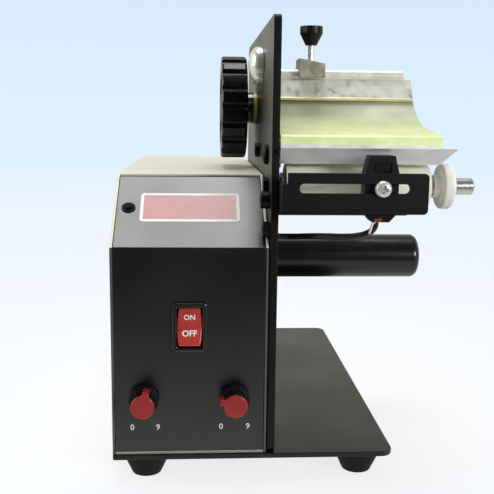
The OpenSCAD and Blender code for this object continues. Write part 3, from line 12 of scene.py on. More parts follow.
import bpy
from mathutils import Matrix, Vector
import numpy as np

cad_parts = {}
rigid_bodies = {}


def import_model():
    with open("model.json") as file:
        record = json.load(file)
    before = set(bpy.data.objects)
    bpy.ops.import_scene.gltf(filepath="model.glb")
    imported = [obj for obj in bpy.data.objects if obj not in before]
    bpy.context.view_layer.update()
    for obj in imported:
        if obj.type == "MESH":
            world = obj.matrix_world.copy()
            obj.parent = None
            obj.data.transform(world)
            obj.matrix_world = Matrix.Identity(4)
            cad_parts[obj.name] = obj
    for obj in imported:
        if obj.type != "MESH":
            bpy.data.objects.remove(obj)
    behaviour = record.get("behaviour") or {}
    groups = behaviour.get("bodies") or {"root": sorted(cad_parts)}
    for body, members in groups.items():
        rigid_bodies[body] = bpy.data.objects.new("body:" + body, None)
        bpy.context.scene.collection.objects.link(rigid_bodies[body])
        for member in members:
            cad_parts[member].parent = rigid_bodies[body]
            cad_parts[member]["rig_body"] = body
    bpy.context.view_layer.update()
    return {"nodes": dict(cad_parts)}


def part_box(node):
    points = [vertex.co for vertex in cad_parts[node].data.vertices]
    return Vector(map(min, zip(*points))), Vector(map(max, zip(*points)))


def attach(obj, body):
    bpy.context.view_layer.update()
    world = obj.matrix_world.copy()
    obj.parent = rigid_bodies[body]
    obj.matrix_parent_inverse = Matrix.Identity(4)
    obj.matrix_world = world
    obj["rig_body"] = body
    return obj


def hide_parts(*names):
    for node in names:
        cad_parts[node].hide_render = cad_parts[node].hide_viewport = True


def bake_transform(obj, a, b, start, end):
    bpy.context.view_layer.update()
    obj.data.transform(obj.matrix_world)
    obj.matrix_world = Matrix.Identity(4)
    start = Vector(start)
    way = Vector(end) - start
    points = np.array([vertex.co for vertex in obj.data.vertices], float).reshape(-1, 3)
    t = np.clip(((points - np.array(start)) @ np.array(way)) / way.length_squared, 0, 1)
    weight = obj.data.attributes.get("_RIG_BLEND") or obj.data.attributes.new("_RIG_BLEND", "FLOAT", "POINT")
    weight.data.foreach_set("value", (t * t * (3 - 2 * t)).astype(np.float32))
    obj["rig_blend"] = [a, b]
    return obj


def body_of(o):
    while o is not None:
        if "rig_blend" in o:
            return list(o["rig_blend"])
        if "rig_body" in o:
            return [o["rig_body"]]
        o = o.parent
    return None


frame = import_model()
bpy.ops.object.select_all(action="DESELECT")

# %% [markdown]
# The maker measures from the left front corner of the box, where it stands on the base plate.
# Keeping that corner as the zero lets every number below be a millimetre that could be read
# off a drawing: x to the right, y to the back, z up.

# %% Millimetres from the box's corner
MM = 0.001
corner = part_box("cover")[0]


def at(x, y, z):
    """A point in millimetres from the box's corner, in metres in the frame."""
    return corner + Vector((x, y, z)) * MM


print("box corner at", [round(value, 4) for value in corner])

# %% [markdown]
# The photographer stood a little right of the box's middle and looked slightly down. The lens
# and the place come from the vanishing lines of the panel and the platform.

# %% Camera
EYE = at(40.58, -344.71, 157.15)
LENS, SENSOR = 56.36, 36.0
YAW, PITCH, ROLL = radians(3.55), radians(9.57), radians(0.68)
bpy.ops.object.camera_add()
camera = bpy.context.object
camera.name = "camera"
camera.data.lens = LENS
camera.data.sensor_width = SENSOR
camera.data.clip_start, camera.data.clip_end = 0.01, 60
camera.matrix_world = (Matrix.Translation(EYE) @ Matrix.Rotation(-YAW, 4, "Z")
                       @ Matrix.Rotation(pi / 2 - PITCH, 4, "X") @ Matrix.Rotation(ROLL, 4, "Z"))
bpy.context.scene.camera = camera
bpy.context.scene.view_settings.view_transform = "Standard"
print("camera at", [round(value, 3) for value in EYE])

# %% [markdown]
# Every piece below is finished the same way: its modifiers are applied, its place is put into
# its mesh so that the object itself sits at the origin, and it is told which body carries it.

# %% Small helpers for pieces
def only(piece):
    """Select one piece and make it active, because operators act on all that is selected."""
    bpy.ops.object.select_all(action="DESELECT")
    piece.select_set(True)
    bpy.context.view_layer.objects.active = piece


def apply_modifier(piece, kind, **settings):
    """Add a modifier, set it and apply it."""
    only(piece)
    modifier = piece.modifiers.new(kind.lower(), kind)
    for key, value in settings.items():
        setattr(modifier, key, value)
    bpy.ops.object.modifier_apply(modifier=modifier.name)


def settle(piece, body, finish):
    """Put the place into the mesh, give the finish, and let the piece ride on its body."""
    only(piece)
    bpy.ops.object.transform_apply(location=True, rotation=True, scale=True)
    piece.data.materials.clear()
    piece.data.materials.append(finish)
    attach(piece, body)
    return piece


print("helpers for pieces ready")

# %% [markdown]
# The sensor's lead is a soft 3 mm cable. It drops out of the sensor's chin, swings back and to
# the left over the spindle, and goes through a grommet into the box. A curve through a few
# points, given a round section and then made a mesh, bends as smoothly as a real sheath.

# %% Route of the sensor cable
CABLE_D = 3.0
ROUTE = [(118.6, -7.4, 111.8), (118.6, -7.4, 110.2), (117.5, -7.3, 108), (114.8, -7, 106.2),
         (110.6, -6.2, 105), (105, -4.6, 104.4), (99, -1, 104), (93.5, 4, 103.3), (89, 10, 102.3),
         (85.6, 14.6, 101.5), (82.4, 17.2, 101.1), (79, 18, 101), (74, 18, 101), (69, 18, 101)]


def smooth_line(name, points, radius, roundness):
    """A curve with automatic handles through points, with a round section."""
    bpy.ops.curve.primitive_bezier_curve_add()
    line = bpy.context.object
    line.name = name
    line.matrix_world = Matrix.Identity(4)
    spline = line.data.splines[0]
    spline.bezier_points.add(len(points) - 2)
    for knot, point in zip(spline.bezier_points, points):
        knot.co = point
        knot.handle_left_type = knot.handle_right_type = "AUTO"
    line.data.resolution_u = 6
    line.data.bevel_depth = radius
    line.data.bevel_resolution = roundness
    line.data.use_fill_caps = True
    return line


def as_mesh(line):
    """The curve as a mesh of its own."""
    only(line)
    bpy.ops.object.convert(target="MESH")
    bpy.ops.object.shade_smooth_by_angle(angle=radians(50))
    return bpy.context.object


middle = as_mesh(smooth_line("middle", [at(*point) for point in ROUTE], 0, 0))
bpy.data.objects.remove(middle)
cable = as_mesh(smooth_line("sensor_lead", [at(*point) for point in ROUTE], CABLE_D / 2 * MM, 5))

# %% [markdown]
# The machine stands on a white table under a pale blue sky. What the camera sees and what metal
# mirrors are two pictures: a studio shapes the mirrored one with white and grey cards. A light
# path node tells them apart, so metal sees a warm white that is dimmer in front and overhead.

# %% Sky
def linear(code):
    """An sRGB hex colour as the linear values that shaders read."""
    parts = [int(code[i:i + 2], 16) / 255 for i in (0, 2, 4)]
    return tuple(part / 12.92 if part <= 0.04045 else ((part + 0.055) / 1.055) ** 2.4
                 for part in parts) + (1.0,)


def add(tree, kind, sockets=None, stops=(), **settings):
    """Add a node with its options, its sockets' values or links, and a ramp's (place, hex colour) stops."""
    node = tree.nodes.new(kind)
    for key, value in settings.items():
        setattr(node, key, value)
    for socket, value in (sockets or {}).items():
        if isinstance(value, bpy.types.NodeSocket):
            tree.links.new(value, node.inputs[socket])
        else:
            node.inputs[socket].default_value = value
    for _ in stops[2:]:
        node.color_ramp.elements.new(1.0)
    for number, (place, code) in enumerate(stops):
        node.color_ramp.elements[number].position = place
        node.color_ramp.elements[number].color = linear(code)
    return node


world = bpy.context.scene.world or bpy.data.worlds.new("sky")
bpy.context.scene.world = world
world.use_nodes = True
sky = world.node_tree
sky.nodes.clear()
way = add(sky, "ShaderNodeTexCoord").outputs["Generated"]
part = add(sky, "ShaderNodeSeparateXYZ", {"Vector": way})
blue = add(sky, "ShaderNodeValToRGB", {"Fac": part.outputs["Z"]},
           stops=[(0.0, "DFF1FF"), (0.05, "DDEEFE"), (0.14, "D8EAFF"), (1.0, "D8EAFF")]).outputs["Color"]
front = add(sky, "ShaderNodeMapRange", {
    "Value": part.outputs["Y"], "From Min": -0.8, "From Max": 0.1, "To Min": 0.08, "To Max": 0.9})
seen = add(sky, "ShaderNodeLightPath")
straight = add(sky, "ShaderNodeBackground", {"Color": blue, "Strength": 1.0})
zenith = add(sky, "ShaderNodeMapRange", {
    "Value": part.outputs["Z"], "From Min": 0.3, "From Max": 0.8, "To Min": 1.0, "To Max": 0.45})
dimmed = add(sky, "ShaderNodeMath", {
    0: front.outputs["Result"], 1: zenith.outputs["Result"]}, operation="MULTIPLY")
mirrored = add(sky, "ShaderNodeBackground", {"Color": linear("F5F4EA"), "Strength": dimmed.outputs[0]})
plain = add(sky, "ShaderNodeBackground", {"Color": linear("F7F7F4"), "Strength": 0.5})
glossy = add(sky, "ShaderNodeMixShader", {
    0: seen.outputs["Is Glossy Ray"], 1: plain.outputs[0], 2: mirrored.outputs[0]})
clear = add(sky, "ShaderNodeMath", {
    0: seen.outputs["Is Camera Ray"], 1: seen.outputs["Is Transmission Ray"]}, operation="MAXIMUM")
both = add(sky, "ShaderNodeMixShader", {0: clear.outputs[0], 1: glossy.outputs[0], 2: straight.outputs[0]})
add(sky, "ShaderNodeOutputWorld", {"Surface": both.outputs[0]})
print("sky of", len(sky.nodes), "nodes")

# %% [markdown]
# The table is a disc so wide that its rim never shows, and it fades from white to the sky's blue
# with distance. The camera mostly sees its own colour, and near the machine a part of it is lit,
# so that the shadow under the feet stays. Mirrors see it dark in front of the machine.

# %% Floor
FLOOR_R, FADE_END = 6, 2.4      # metres
finishes = []


def new_finish(name):
    """An empty material, its node tree, and the place on the object from which patterns are laid."""
    finish = bpy.data.materials.new(name)
    finish.use_nodes = True
    tree = finish.node_tree
    tree.nodes.clear()
    finishes.append(name)
    return finish, tree, add(tree, "ShaderNodeTexCoord").outputs["Object"]


bpy.ops.mesh.primitive_circle_add(vertices=96, radius=FLOOR_R, fill_type="NGON")
floor = bpy.context.object
floor.name = "floor"
ground, tree, place = new_finish("painted table, white to pale blue")
far = add(tree, "ShaderNodeVectorMath", {0: place}, operation="LENGTH").outputs["Value"]
share = add(tree, "ShaderNodeMath", {0: far, 1: FADE_END}, operation="DIVIDE").outputs[0]
shade = add(tree, "ShaderNodeValToRGB", {"Fac": share},
            stops=[(0.0, "FFFFFF"), (0.04, "FCFDFF"), (0.083, "F6FAFE"), (0.152, "F2F7FF"),
                   (0.266, "EFF6FF"), (0.487, "EBF3FE"), (0.79, "E5F1FF"), (1.0, "DFF1FF")]).outputs["Color"]
own = add(tree, "ShaderNodeMapRange", {
    "Value": far, "From Min": 0.1, "From Max": 0.5, "To Min": 0.8, "To Max": 1.0}).outputs["Result"]
split = add(tree, "ShaderNodeSeparateXYZ", {"Vector": place})
near = add(tree, "ShaderNodeMapRange", {
    "Value": split.outputs["Y"], "From Min": -0.42, "From Max": -0.16,
    "To Min": 0.1, "To Max": 0.8}).outputs["Result"]
path = add(tree, "ShaderNodeLightPath")
lit = add(tree, "ShaderNodeBsdfDiffuse", {"Color": shade})
shown = add(tree, "ShaderNodeEmission", {"Color": shade, "Strength": 1.0})
glow = add(tree, "ShaderNodeEmission", {"Color": linear("FBFAF4"), "Strength": near})
table = add(tree, "ShaderNodeMixShader", {0: own, 1: lit.outputs[0], 2: shown.outputs[0]})
kept = add(tree, "ShaderNodeMath", {
    0: path.outputs["Is Camera Ray"], 1: path.outputs["Is Transmission Ray"]},
    operation="MAXIMUM").outputs[0]
dim = add(tree, "ShaderNodeBsdfDiffuse", {"Color": linear("B4B4B0")})
back = add(tree, "ShaderNodeMixShader", {
    0: path.outputs["Is Glossy Ray"], 1: dim.outputs[0], 2: glow.outputs[0]})
whole = add(tree, "ShaderNodeMixShader", {0: kept, 1: back.outputs[0], 2: table.outputs[0]})
add(tree, "ShaderNodeOutputMaterial", {"Surface": whole.outputs[0]})
floor.data.materials.append(ground)
print("floor of", len(floor.data.vertices), "corners")

# %% [markdown]
# Three soft boxes light the machine. One hangs over it, and the sloped part of the panel mirrors
# it, which is why black paint looks grey there. A larger one stands at the left and lights the
# side plate and the rollers' left sides. A low, flat one at the front right draws the thin bright
# lines on the edges.

# %% Lamps
def soft_box(name, place, aim, size, watts):
    """A rectangular area lamp that looks at a point and is itself unseen by the camera."""
    bpy.ops.object.light_add(type="AREA", location=place)
    lamp = bpy.context.object
    lamp.name = name
    lamp.data.shape = "RECTANGLE"
    lamp.data.size, lamp.data.size_y = size
    lamp.data.energy = watts
    lamp.rotation_euler = (Vector(aim) - Vector(place)).to_track_quat("-Z", "Y").to_euler()
    lamp.visible_camera = False


# Each has its place, the point it looks at and its size in metres, and its power in watts.
LAMPS = {
    "upper_box": ((-0.05, 0.12, 1.15), (0, 0, 0.1), (0.6, 0.5), 6.5),
    "left_box": ((-1.2, 0.1, 0.6), (0, 0, 0.15), (0.7, 0.7), 6),
    "front_box": ((0.8, -0.95, 0.42), (0.03, -0.05, 0.14), (0.5, 0.15), 8),
}
for name, row in LAMPS.items():
    soft_box(name, *row)
print(len(LAMPS), "lamps of", sum(row[-1] for row in LAMPS.values()), "watts in all")

# %% [markdown]
# Powder coat is sprayed dry and baked, so it flows into a skin with a fine orange peel. The peel
# is about 1.6 mm from crest to crest and a hundredth of a millimetre deep: it shows as a slight
# waviness in the highlights, so a noise of that size drives a bump. A touch of dust greys the
# colour in soft patches some 45 mm wide, and the gloss follows them.

# %% Powder-coated sheet
PATCH_MM = 45


def powder_coat(name, base, dusty, roughness, specular, peel_mm=1.6, depth_mm=0.012, sheen_code="FFFFFF"):
    """Baked powder coat on sheet metal: even colour, satin skin, fine orange peel."""
    finish, tree, place = new_finish(name)
    cloud = add(tree, "ShaderNodeTexNoise", {
        "Vector": place, "Scale": 1 / (PATCH_MM * MM), "Detail": 2.0}).outputs[0]
    tone = add(tree, "ShaderNodeValToRGB", {"Fac": cloud}, stops=[(0.38, base), (0.7, dusty)])
    sheen = add(tree, "ShaderNodeMapRange", {
        "Value": cloud, "From Min": 0.2, "From Max": 0.8,
        "To Min": roughness - 0.04, "To Max": roughness + 0.05}, interpolation_type="SMOOTHSTEP")
    peel = add(tree, "ShaderNodeTexNoise", {
        "Vector": place, "Scale": 1 / (peel_mm * MM), "Detail": 1.0}).outputs[0]
    bump = add(tree, "ShaderNodeBump", {"Height": peel, "Strength": 0.6, "Distance": depth_mm * MM})
    skin = add(tree, "ShaderNodeBsdfPrincipled", {
        "Base Color": tone.outputs["Color"], "Roughness": sheen.outputs["Result"],
        "Normal": bump.outputs["Normal"], "IOR": 1.5, "Specular IOR Level": specular,
        "Specular Tint": linear(sheen_code)})
    add(tree, "ShaderNodeOutputMaterial", {"Surface": skin.outputs[0]})
    return finish


# The panel has the smoothest coat, so its slope mirrors the upper lamp as a soft grey.
panel_coat = powder_coat("powder coat, satin black", "0A0B0D", "0E0F11", 0.3, 0.75)
# The side plate's coat is duller, and its broad warm shine turns the black to olive.
plate_coat = powder_coat("powder coat, black with an olive cast", "0A0B06", "0F100A", 0.42, 0.9,
                         depth_mm=0.008, sheen_code="E4E4C6")
# The base plate is rubbed by hands and boxes, which gives it a low, slightly warm shine.
base_coat = powder_coat("powder coat, black, rubbed", "0A0B07", "10110B", 0.36, 0.5, sheen_code="E8E8D4")
# On the cover's front rim the cream is coloured grey, painted shade that makes a grey line round the panel.
cover_rim_shade = powder_coat("cover rim, grey painted shade", "4C4C4B", "5A5A58", 0.4, 0.4)
# The pan's front rim is coloured a pale grey, painted shade that makes a dull line under the panel.
pan_rim_shade = powder_coat("pan rim, pale grey painted shade", "8C8C89", "A0A09C", 0.4, 0.4)
# The cream coat is matt with a coarser peel, so its highlights stay broad and soft.
cover_coat = powder_coat("powder coat, warm cream", "DBDACA", "D7D5C4", 0.45, 0.4, peel_mm=2.0, depth_mm=0.02)
# A duller, darker black: the sensor bracket's own coat, and painted shade on the side plate's faces that lean
# to the front.
dull_black_and_shade = powder_coat("powder coat, dull black, painted shade on front faces", "060606", "090908", 0.5, 0.25)
print(len(finishes), "finishes so far")

# %% [markdown]
# Bare metals differ by what was done to them. Zinc plate is a little cloudy, nickel plate is
# smooth, and turned, drawn or ground stock carries fine lines. One function makes them all from
# a noise that is stretched the way the tool went. Real tool lines are a few hundredths of a
# millimetre wide; here they are drawn half a millimetre wide or more, so that they show.

# %% Metals
def worked_metal(name, light, dark, roughness, grain_mm, stretch, cloud_mm=12, depth_mm=0.004, metallic=1.0):
    """A metal whose grain is stretched by its working; stretch is the grain's length on x, y and z."""
    finish, tree, place = new_finish(name)
    drawn = add(tree, "ShaderNodeMapping", {"Vector": place, "Scale": [1 / length for length in stretch]})
    grain = add(tree, "ShaderNodeTexNoise", {
        "Vector": drawn.outputs[0], "Scale": 1 / (grain_mm * MM), "Detail": 3.0}).outputs[0]
    cloud = add(tree, "ShaderNodeTexNoise", {
        "Vector": place, "Scale": 1 / (cloud_mm * MM), "Detail": 1.0}).outputs[0]
    tone = add(tree, "ShaderNodeValToRGB", {"Fac": cloud}, stops=[(0.3, dark), (0.65, light)])
    rough = add(tree, "ShaderNodeMapRange", {
        "Value": grain, "From Min": 0.3, "From Max": 0.7,
        "To Min": roughness * 0.75, "To Max": roughness * 1.25})
    bump = add(tree, "ShaderNodeBump", {"Height": grain, "Strength": 0.5, "Distance": depth_mm * MM})
    skin = add(tree, "ShaderNodeBsdfPrincipled", {
        "Base Color": tone.outputs["Color"], "Metallic": metallic,
        "Roughness": rough.outputs["Result"], "Normal": bump.outputs["Normal"]})
    add(tree, "ShaderNodeOutputMaterial", {"Surface": skin.outputs[0]})
    return finish


EVEN, ALONG_X, ALONG_Z, ROUND_X = (1, 1, 1), (30, 1, 1), (1, 1, 20), (1, 20, 20)
# Zinc plate mirrors light and dark only, under a faint cloud.
zinc = worked_metal("steel, bright zinc plate", "C9CCCB", "AEB1AF", 0.32, 0.8, EVEN)
# Black oxide is thin, so the screws look dark and still like metal.
blackened = worked_metal("steel, black oxide", "2A2A2B", "1B1B1C", 0.42, 0.7, EVEN)
# Sintered bronze is full of pores, which spread its brown-gold shine.
bronze = worked_metal("bronze, sintered", "B98A4E", "94693A", 0.5, 0.5, EVEN)
# Yellow chromate is a stained film, so the eye sees more colour than mirror.
yellow = worked_metal("steel, yellow chromate", "D9CF6B", "C9C05A", 0.3, 0.8, EVEN, metallic=0.2)
# The leaf's rolled hem is coloured a pale warm yellow, much paler than the leaf, and reads as a warm pale
# line.
hem_zinc = worked_metal("steel, zinc plate, pale warm yellow", "F2ECC4", "E4DCAC", 0.3, 0.8, ALONG_X, metallic=0.4)
# Bright nickel keeps small, sharp highlights on the clamp nut and the screws.
bright = worked_metal("steel, bright nickel plate", "EDEDE6", "E0E0D9", 0.26, 0.8, ALONG_X,
                      depth_mm=0.0008, metallic=0.6)
# Satin nickel spreads the highlight of the press bar into a soft band.
satin_nickel = worked_metal("steel, satin nickel plate", "F4F4EC", "DEDED6", 0.36, 1.2, EVEN,
                            cloud_mm=6, depth_mm=0.0003, metallic=0.4)
# Brushed aluminium makes the peel plate pale and nearly even from every side.
satin = worked_metal("aluminium, satin brushed", "F2F3F6", "E4E5EA", 0.5, 0.5, ALONG_X, metallic=0.4)
# Turning leaves rings round the shaft, so its highlight is long and slightly broken.
turned = worked_metal("steel, turned bright", "D5D7D7", "BFC1C1", 0.3, 0.5, ROUND_X, depth_mm=0.0015)
# Machined aluminium has the same rings, deeper, and a bluer grey.
machined = worked_metal("aluminium, machined", "C9CBCF", "B4B6BA", 0.3, 0.5, ROUND_X)
# The motor's drawn can is plated dull and looks mid grey.
motor_can = worked_metal("steel, plated motor can", "A5A7AA", "8E9093", 0.36, 0.6, ALONG_X)
# The guide block was ground upright and thinly nickelled, which leaves warm blotches.
ground_steel = worked_metal("steel, ground and nickelled", "CAC4B6", "98927F", 0.42, 0.5, ALONG_Z,
                            cloud_mm=5, metallic=0.6)
# Copper with half its tin left changes from orange to brown within a few millimetres.
copper = worked_metal("copper, tinned in part", "D08A62", "B06A45", 0.3, 0.5, EVEN)
print(len(finishes), "finishes so far")

# %% [markdown]
# The curved sheet is spring steel with a pale yellow-green passivation. Its colour also holds painted light
# and shade: it is lightest and greenest low on the ramp, where painted light stands in for the front light,
# greyer and darker on the crest, and darkest at the crest's left, a painted shadow of the side plate. Two
# colour ramps, one over the height and one over the width, give that without a picture, and a soft step mixes
# them.

# %% Passivated curved sheet, with painted light and shade
SHEET_LOW, SHEET_HIGH = 144, 175
SHEET_LEFT, SHEET_RIGHT = 76, 150
BLOT_MM = 9
passivation_and_shade, tree, place = new_finish("spring steel, yellow-green passivation")
spread = add(tree, "ShaderNodeSeparateXYZ", {"Vector": place})
rise = add(tree, "ShaderNodeMapRange", {
    "Value": spread.outputs["Z"], "From Min": at(0, 0, SHEET_LOW).z,
    "From Max": at(0, 0, SHEET_HIGH).z}).outputs["Result"]
# Up the ramp: the film's green, lightened low down as painted light.
ramp_tone_with_light = add(tree, "ShaderNodeValToRGB", {"Fac": rise},
               stops=[(0.0, "E6F8B6"), (0.15, "E8F6B8"), (0.24, "E6E8B8"), (0.335, "C8D0A2")])
along = add(tree, "ShaderNodeMapRange", {
    "Value": spread.outputs["X"], "From Min": at(SHEET_LEFT, 0, 0).x,
    "From Max": at(SHEET_RIGHT, 0, 0).x}).outputs["Result"]
# Across the crest: greyer and darker, darkest at the left, a painted shadow of the side plate.
crest_tone_with_shade = add(tree, "ShaderNodeValToRGB", {"Fac": along},
                stops=[(0.1, "848A70"), (0.3, "8E9376"), (0.47, "9AA082"), (0.69, "B9BCA6")])
upper = add(tree, "ShaderNodeMapRange", {
    "Value": rise, "From Min": 0.3, "From Max": 0.5}, interpolation_type="SMOOTHSTEP").outputs["Result"]
tone = add(tree, "ShaderNodeMix", {
    0: upper, 6: ramp_tone_with_light.outputs["Color"], 7: crest_tone_with_shade.outputs["Color"]}, data_type="RGBA").outputs[2]
cloud = add(tree, "ShaderNodeTexNoise", {
    "Vector": place, "Scale": 1 / (BLOT_MM * MM), "Detail": 2.0}).outputs[0]
blot = add(tree, "ShaderNodeValToRGB", {"Fac": cloud}, stops=[(0.3, "F0F0F0"), (0.65, "FFFFFF")])
stain = add(tree, "ShaderNodeMix", {
    0: 1.0, 6: tone, 7: blot.outputs["Color"]}, data_type="RGBA", blend_type="MULTIPLY")
skin = add(tree, "ShaderNodeBsdfPrincipled", {
    "Base Color": stain.outputs[2], "Metallic": 0.35, "Roughness": 0.55})
add(tree, "ShaderNodeOutputMaterial", {"Surface": skin.outputs[0]})
print("curved sheet's finish of", len(tree.nodes), "nodes")

# %% [markdown]
# The press leaf is hot-dip galvanised strip. Molten zinc freezes into crystals, the spangle,
# about 3.5 mm wide, and each mirrors at its own angle. A pattern of cells gives every crystal
# its own gloss, and a noise of 5 mm smears grey over them.

# %% Galvanised leaf
SPANGLE_MM, SMEAR_MM = 3.5, 5
spangled, tree, place = new_finish("steel, hot-dip galvanised")
crystal = add(tree, "ShaderNodeTexVoronoi", {"Vector": place, "Scale": 1 / (SPANGLE_MM * MM)})
smear = add(tree, "ShaderNodeTexNoise", {
    "Vector": place, "Scale": 1 / (SMEAR_MM * MM), "Detail": 4.0}).outputs[0]
tint = add(tree, "ShaderNodeValToRGB", {"Fac": smear},
           stops=[(0.3, "9C9C90"), (0.42, "C8C8BE"), (0.6, "D8D8D0")]).outputs["Color"]
cells = add(tree, "ShaderNodeRGBToBW", {"Color": crystal.outputs["Color"]}).outputs[0]
gloss = add(tree, "ShaderNodeMapRange", {"Value": cells, "To Min": 0.4, "To Max": 0.65})
skin = add(tree, "ShaderNodeBsdfPrincipled", {
    "Base Color": tint, "Metallic": 0.3, "Roughness": gloss.outputs["Result"]})
add(tree, "ShaderNodeOutputMaterial", {"Surface": skin.outputs[0]})
print("leaf's finish of", len(tree.nodes), "nodes")

# %% [markdown]
# Moulded plastics take their gloss from the tool. Spark-eroded moulds leave a fine grain on the
# knobs, polished ones leave the rocker's bezel bright, and the hand wheel is phenolic resin,
# pressed hot. Clear red parts let light in, so they glow a little where they are thick. Real
# mould grain is about 0.05 mm wide; it is drawn at 0.6 mm or more, so that it shows.

# %% Plastics and rubber
SHADE_MM = 14
GLOW = {"Subsurface Weight": 0.3, "Subsurface Scale": 2 * MM}


def moulded(name, base, worn, roughness, grain_mm, depth_mm, ior=1.5, specular=0.5, **sockets):
    """A moulded or turned polymer with a fine grain and a slight unevenness of colour."""
    finish, tree, place = new_finish(name)
    cloud = add(tree, "ShaderNodeTexNoise", {
        "Vector": place, "Scale": 1 / (SHADE_MM * MM), "Detail": 2.0}).outputs[0]
    tone = add(tree, "ShaderNodeValToRGB", {"Fac": cloud}, stops=[(0.35, base), (0.7, worn)])
    grain = add(tree, "ShaderNodeTexNoise", {
        "Vector": place, "Scale": 1 / (grain_mm * MM), "Detail": 2.0}).outputs[0]
    rough = add(tree, "ShaderNodeMapRange", {
        "Value": grain, "From Min": 0.3, "From Max": 0.7,
        "To Min": roughness * 0.85, "To Max": roughness * 1.15})
    bump = add(tree, "ShaderNodeBump", {"Height": grain, "Strength": 0.6, "Distance": depth_mm * MM})
    skin = add(tree, "ShaderNodeBsdfPrincipled", {
        "Base Color": tone.outputs["Color"], "Roughness": rough.outputs["Result"],
        "Normal": bump.outputs["Normal"], "IOR": ior, "Specular IOR Level": specular, **sockets})
    add(tree, "ShaderNodeOutputMaterial", {"Surface": skin.outputs[0]})
    return finish


# The eroded grain of knobs and housings breaks every highlight into a dull sheen.
grained_black = moulded("ABS, black with an eroded grain", "070709", "0C0C0E", 0.4, 0.6, 0.02, specular=0.3)
# An extruded tube is smoother, so one clear line of light runs along the spindle.
tube_black = moulded("ABS, black, extruded tube", "060607", "0A0B0C", 0.25, 0.6, 0.006, specular=0.55)
# Phenolic resin is a deep black with thin highlights on the wheel's flutes.
wheel_black = moulded("phenolic resin, black", "030304", "050506", 0.26, 0.8, 0.006, specular=0.3)
# The wheel's hub was polished on the lathe and mirrors the lamps.
hub_black = moulded("phenolic resin, polished black", "050506", "08080A", 0.12, 2.0, 0.002, specular=0.9)
# A polished mould leaves the bezel and the sensor's filter glossy.
gloss_black = moulded("ABS, black from a polished mould", "0B0B0C", "101011", 0.2, 1.5, 0.004, specular=0.8)
# Rubber takes up light and shows hardly any shine.
soft_black = moulded("rubber, black", "060607", "0B0B0C", 0.7, 0.8, 0.03, ior=1.52, specular=0.2)
# A PVC sheath is a softer, greyer black with a dull line of light.
sheath = moulded("soft PVC, black", "121213", "1A1A1B", 0.4, 0.8, 0.01, ior=1.53)
# The white PVC of the conductor stays bright beside the black lead.
white_wire = moulded("PVC, white", "E8E8EA", "DADADC", 0.35, 1.0, 0.004)
# The rocker is the brightest red, because light enters its thick clear body.
rocker_red = moulded("polycarbonate, clear red", "BC2E28", "A32420", 0.3, 1.1, 0.03, ior=1.58,
                     specular=0.9, **GLOW)
# The knobs' caps are the same resin over black, so their red is deeper.
clear_red = moulded("polycarbonate, deep red", "9E1618", "861214", 0.32, 0.9, 0.05, ior=1.58, **GLOW)
# The window's filter has the dark of the box behind it and looks brown-red.
red_window = moulded("acrylic, red filter", "96302F", "8A2C2C", 0.26, 1.2, 0.01, ior=1.49, specular=0.65)
# Nylon lets light in, so the edges of the liner disc look soft.
turned_nylon = moulded("nylon, turned white", "EDEDE8", "E2E2DC", 0.4, 0.7, 0.015, ior=1.53, **GLOW)
# Acetal is denser, and the idler's cream stays even from side to side.
turned_cream = moulded("acetal, turned cream", "F6F7E4", "ECEDD8", 0.42, 0.7, 0.015, ior=1.48)
# Ground rubber is dull, dark grey on the drive roller and pale on the silicone one.
drive_rubber = moulded("rubber, ground black", "1C1C1D", "262627", 0.65, 0.7, 0.03, ior=1.52)
pale_rubber = moulded("silicone rubber, ground pale", "C9C4B2", "BDB8A5", 0.6, 0.7, 0.03, ior=1.43)
# Screen ink dries to a thin flat film.
ink = moulded("screen print, white", "EDEDEA", "DEDEDA", 0.5, 0.6, 0.002)
print(len(finishes), "finishes so far")

# %% [markdown]
# A circuit board is glass cloth in epoxy under a green mask, and its copper tracks show through
# as paler lines. A brick pattern gives such lines with no picture. Real tracks are under half a
# millimetre wide; the blocks are drawn 6 mm long, so that they show.

# %% Circuit boards
TRACK_MM = 6
board_green, tree, place = new_finish("glass epoxy board, green mask")
tracks = add(tree, "ShaderNodeTexBrick", {
    "Vector": place, "Scale": 1 / (TRACK_MM * MM), "Color1": linear("1E6A3F"), "Color2": linear("175634"),
    "Mortar": linear("2F8A55"), "Mortar Size": 0.06})
skin = add(tree, "ShaderNodeBsdfPrincipled", {"Base Color": tracks.outputs["Color"], "Roughness": 0.35})
add(tree, "ShaderNodeOutputMaterial", {"Surface": skin.outputs[0]})
print(len(finishes), "finishes in all")

# %% [markdown]
# The cable is one soft piece between the box and the sensor, which slides along its bracket. It
# stays with the box at the grommet and with the sensor at its chin, and bends between them.

# %% Sensor cable on its bodies
cable.data.materials.clear()
cable.data.materials.append(sheath)
only(cable)
bpy.ops.object.transform_apply(location=True, rotation=True, scale=True)
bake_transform(cable, "machine", "sensor", start=at(84, 16, 101), end=at(117, -7.3, 108))
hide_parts("sensor_cable")

# %% [markdown]
# Most solids are right in size but have knife edges, which no brake, mould or lathe leaves. Each
# one is copied, its loose triangles are joined and flattened, and its edges get the small round
# that a deburring stroke or a mould gives. A bevel modifier finds sharp edges by their angle, so
# one function serves thin sheet and thick knobs alike. The width is in millimetres.

# %% Copies of solids with rounded edges
MERGE, FLAT = 0.002 * MM, radians(0.05)     # how near corners are merged, and how flat faces are joined


def joined_copy(node):
    """A copy of a CAD node whose doubled corners are merged and whose flat faces are whole again."""
    piece = bpy.data.objects.new(node + "_finished", frame["nodes"][node].data.copy())
    bpy.context.scene.collection.objects.link(piece)
    only(piece)
    bpy.ops.mesh.customdata_custom_splitnormals_clear()
    bpy.ops.object.mode_set(mode="EDIT")
    bpy.ops.mesh.select_all(action="SELECT")
    bpy.ops.mesh.remove_doubles(threshold=MERGE)
    bpy.ops.mesh.dissolve_limited(angle_limit=FLAT)
    bpy.ops.object.mode_set(mode="OBJECT")
    return piece


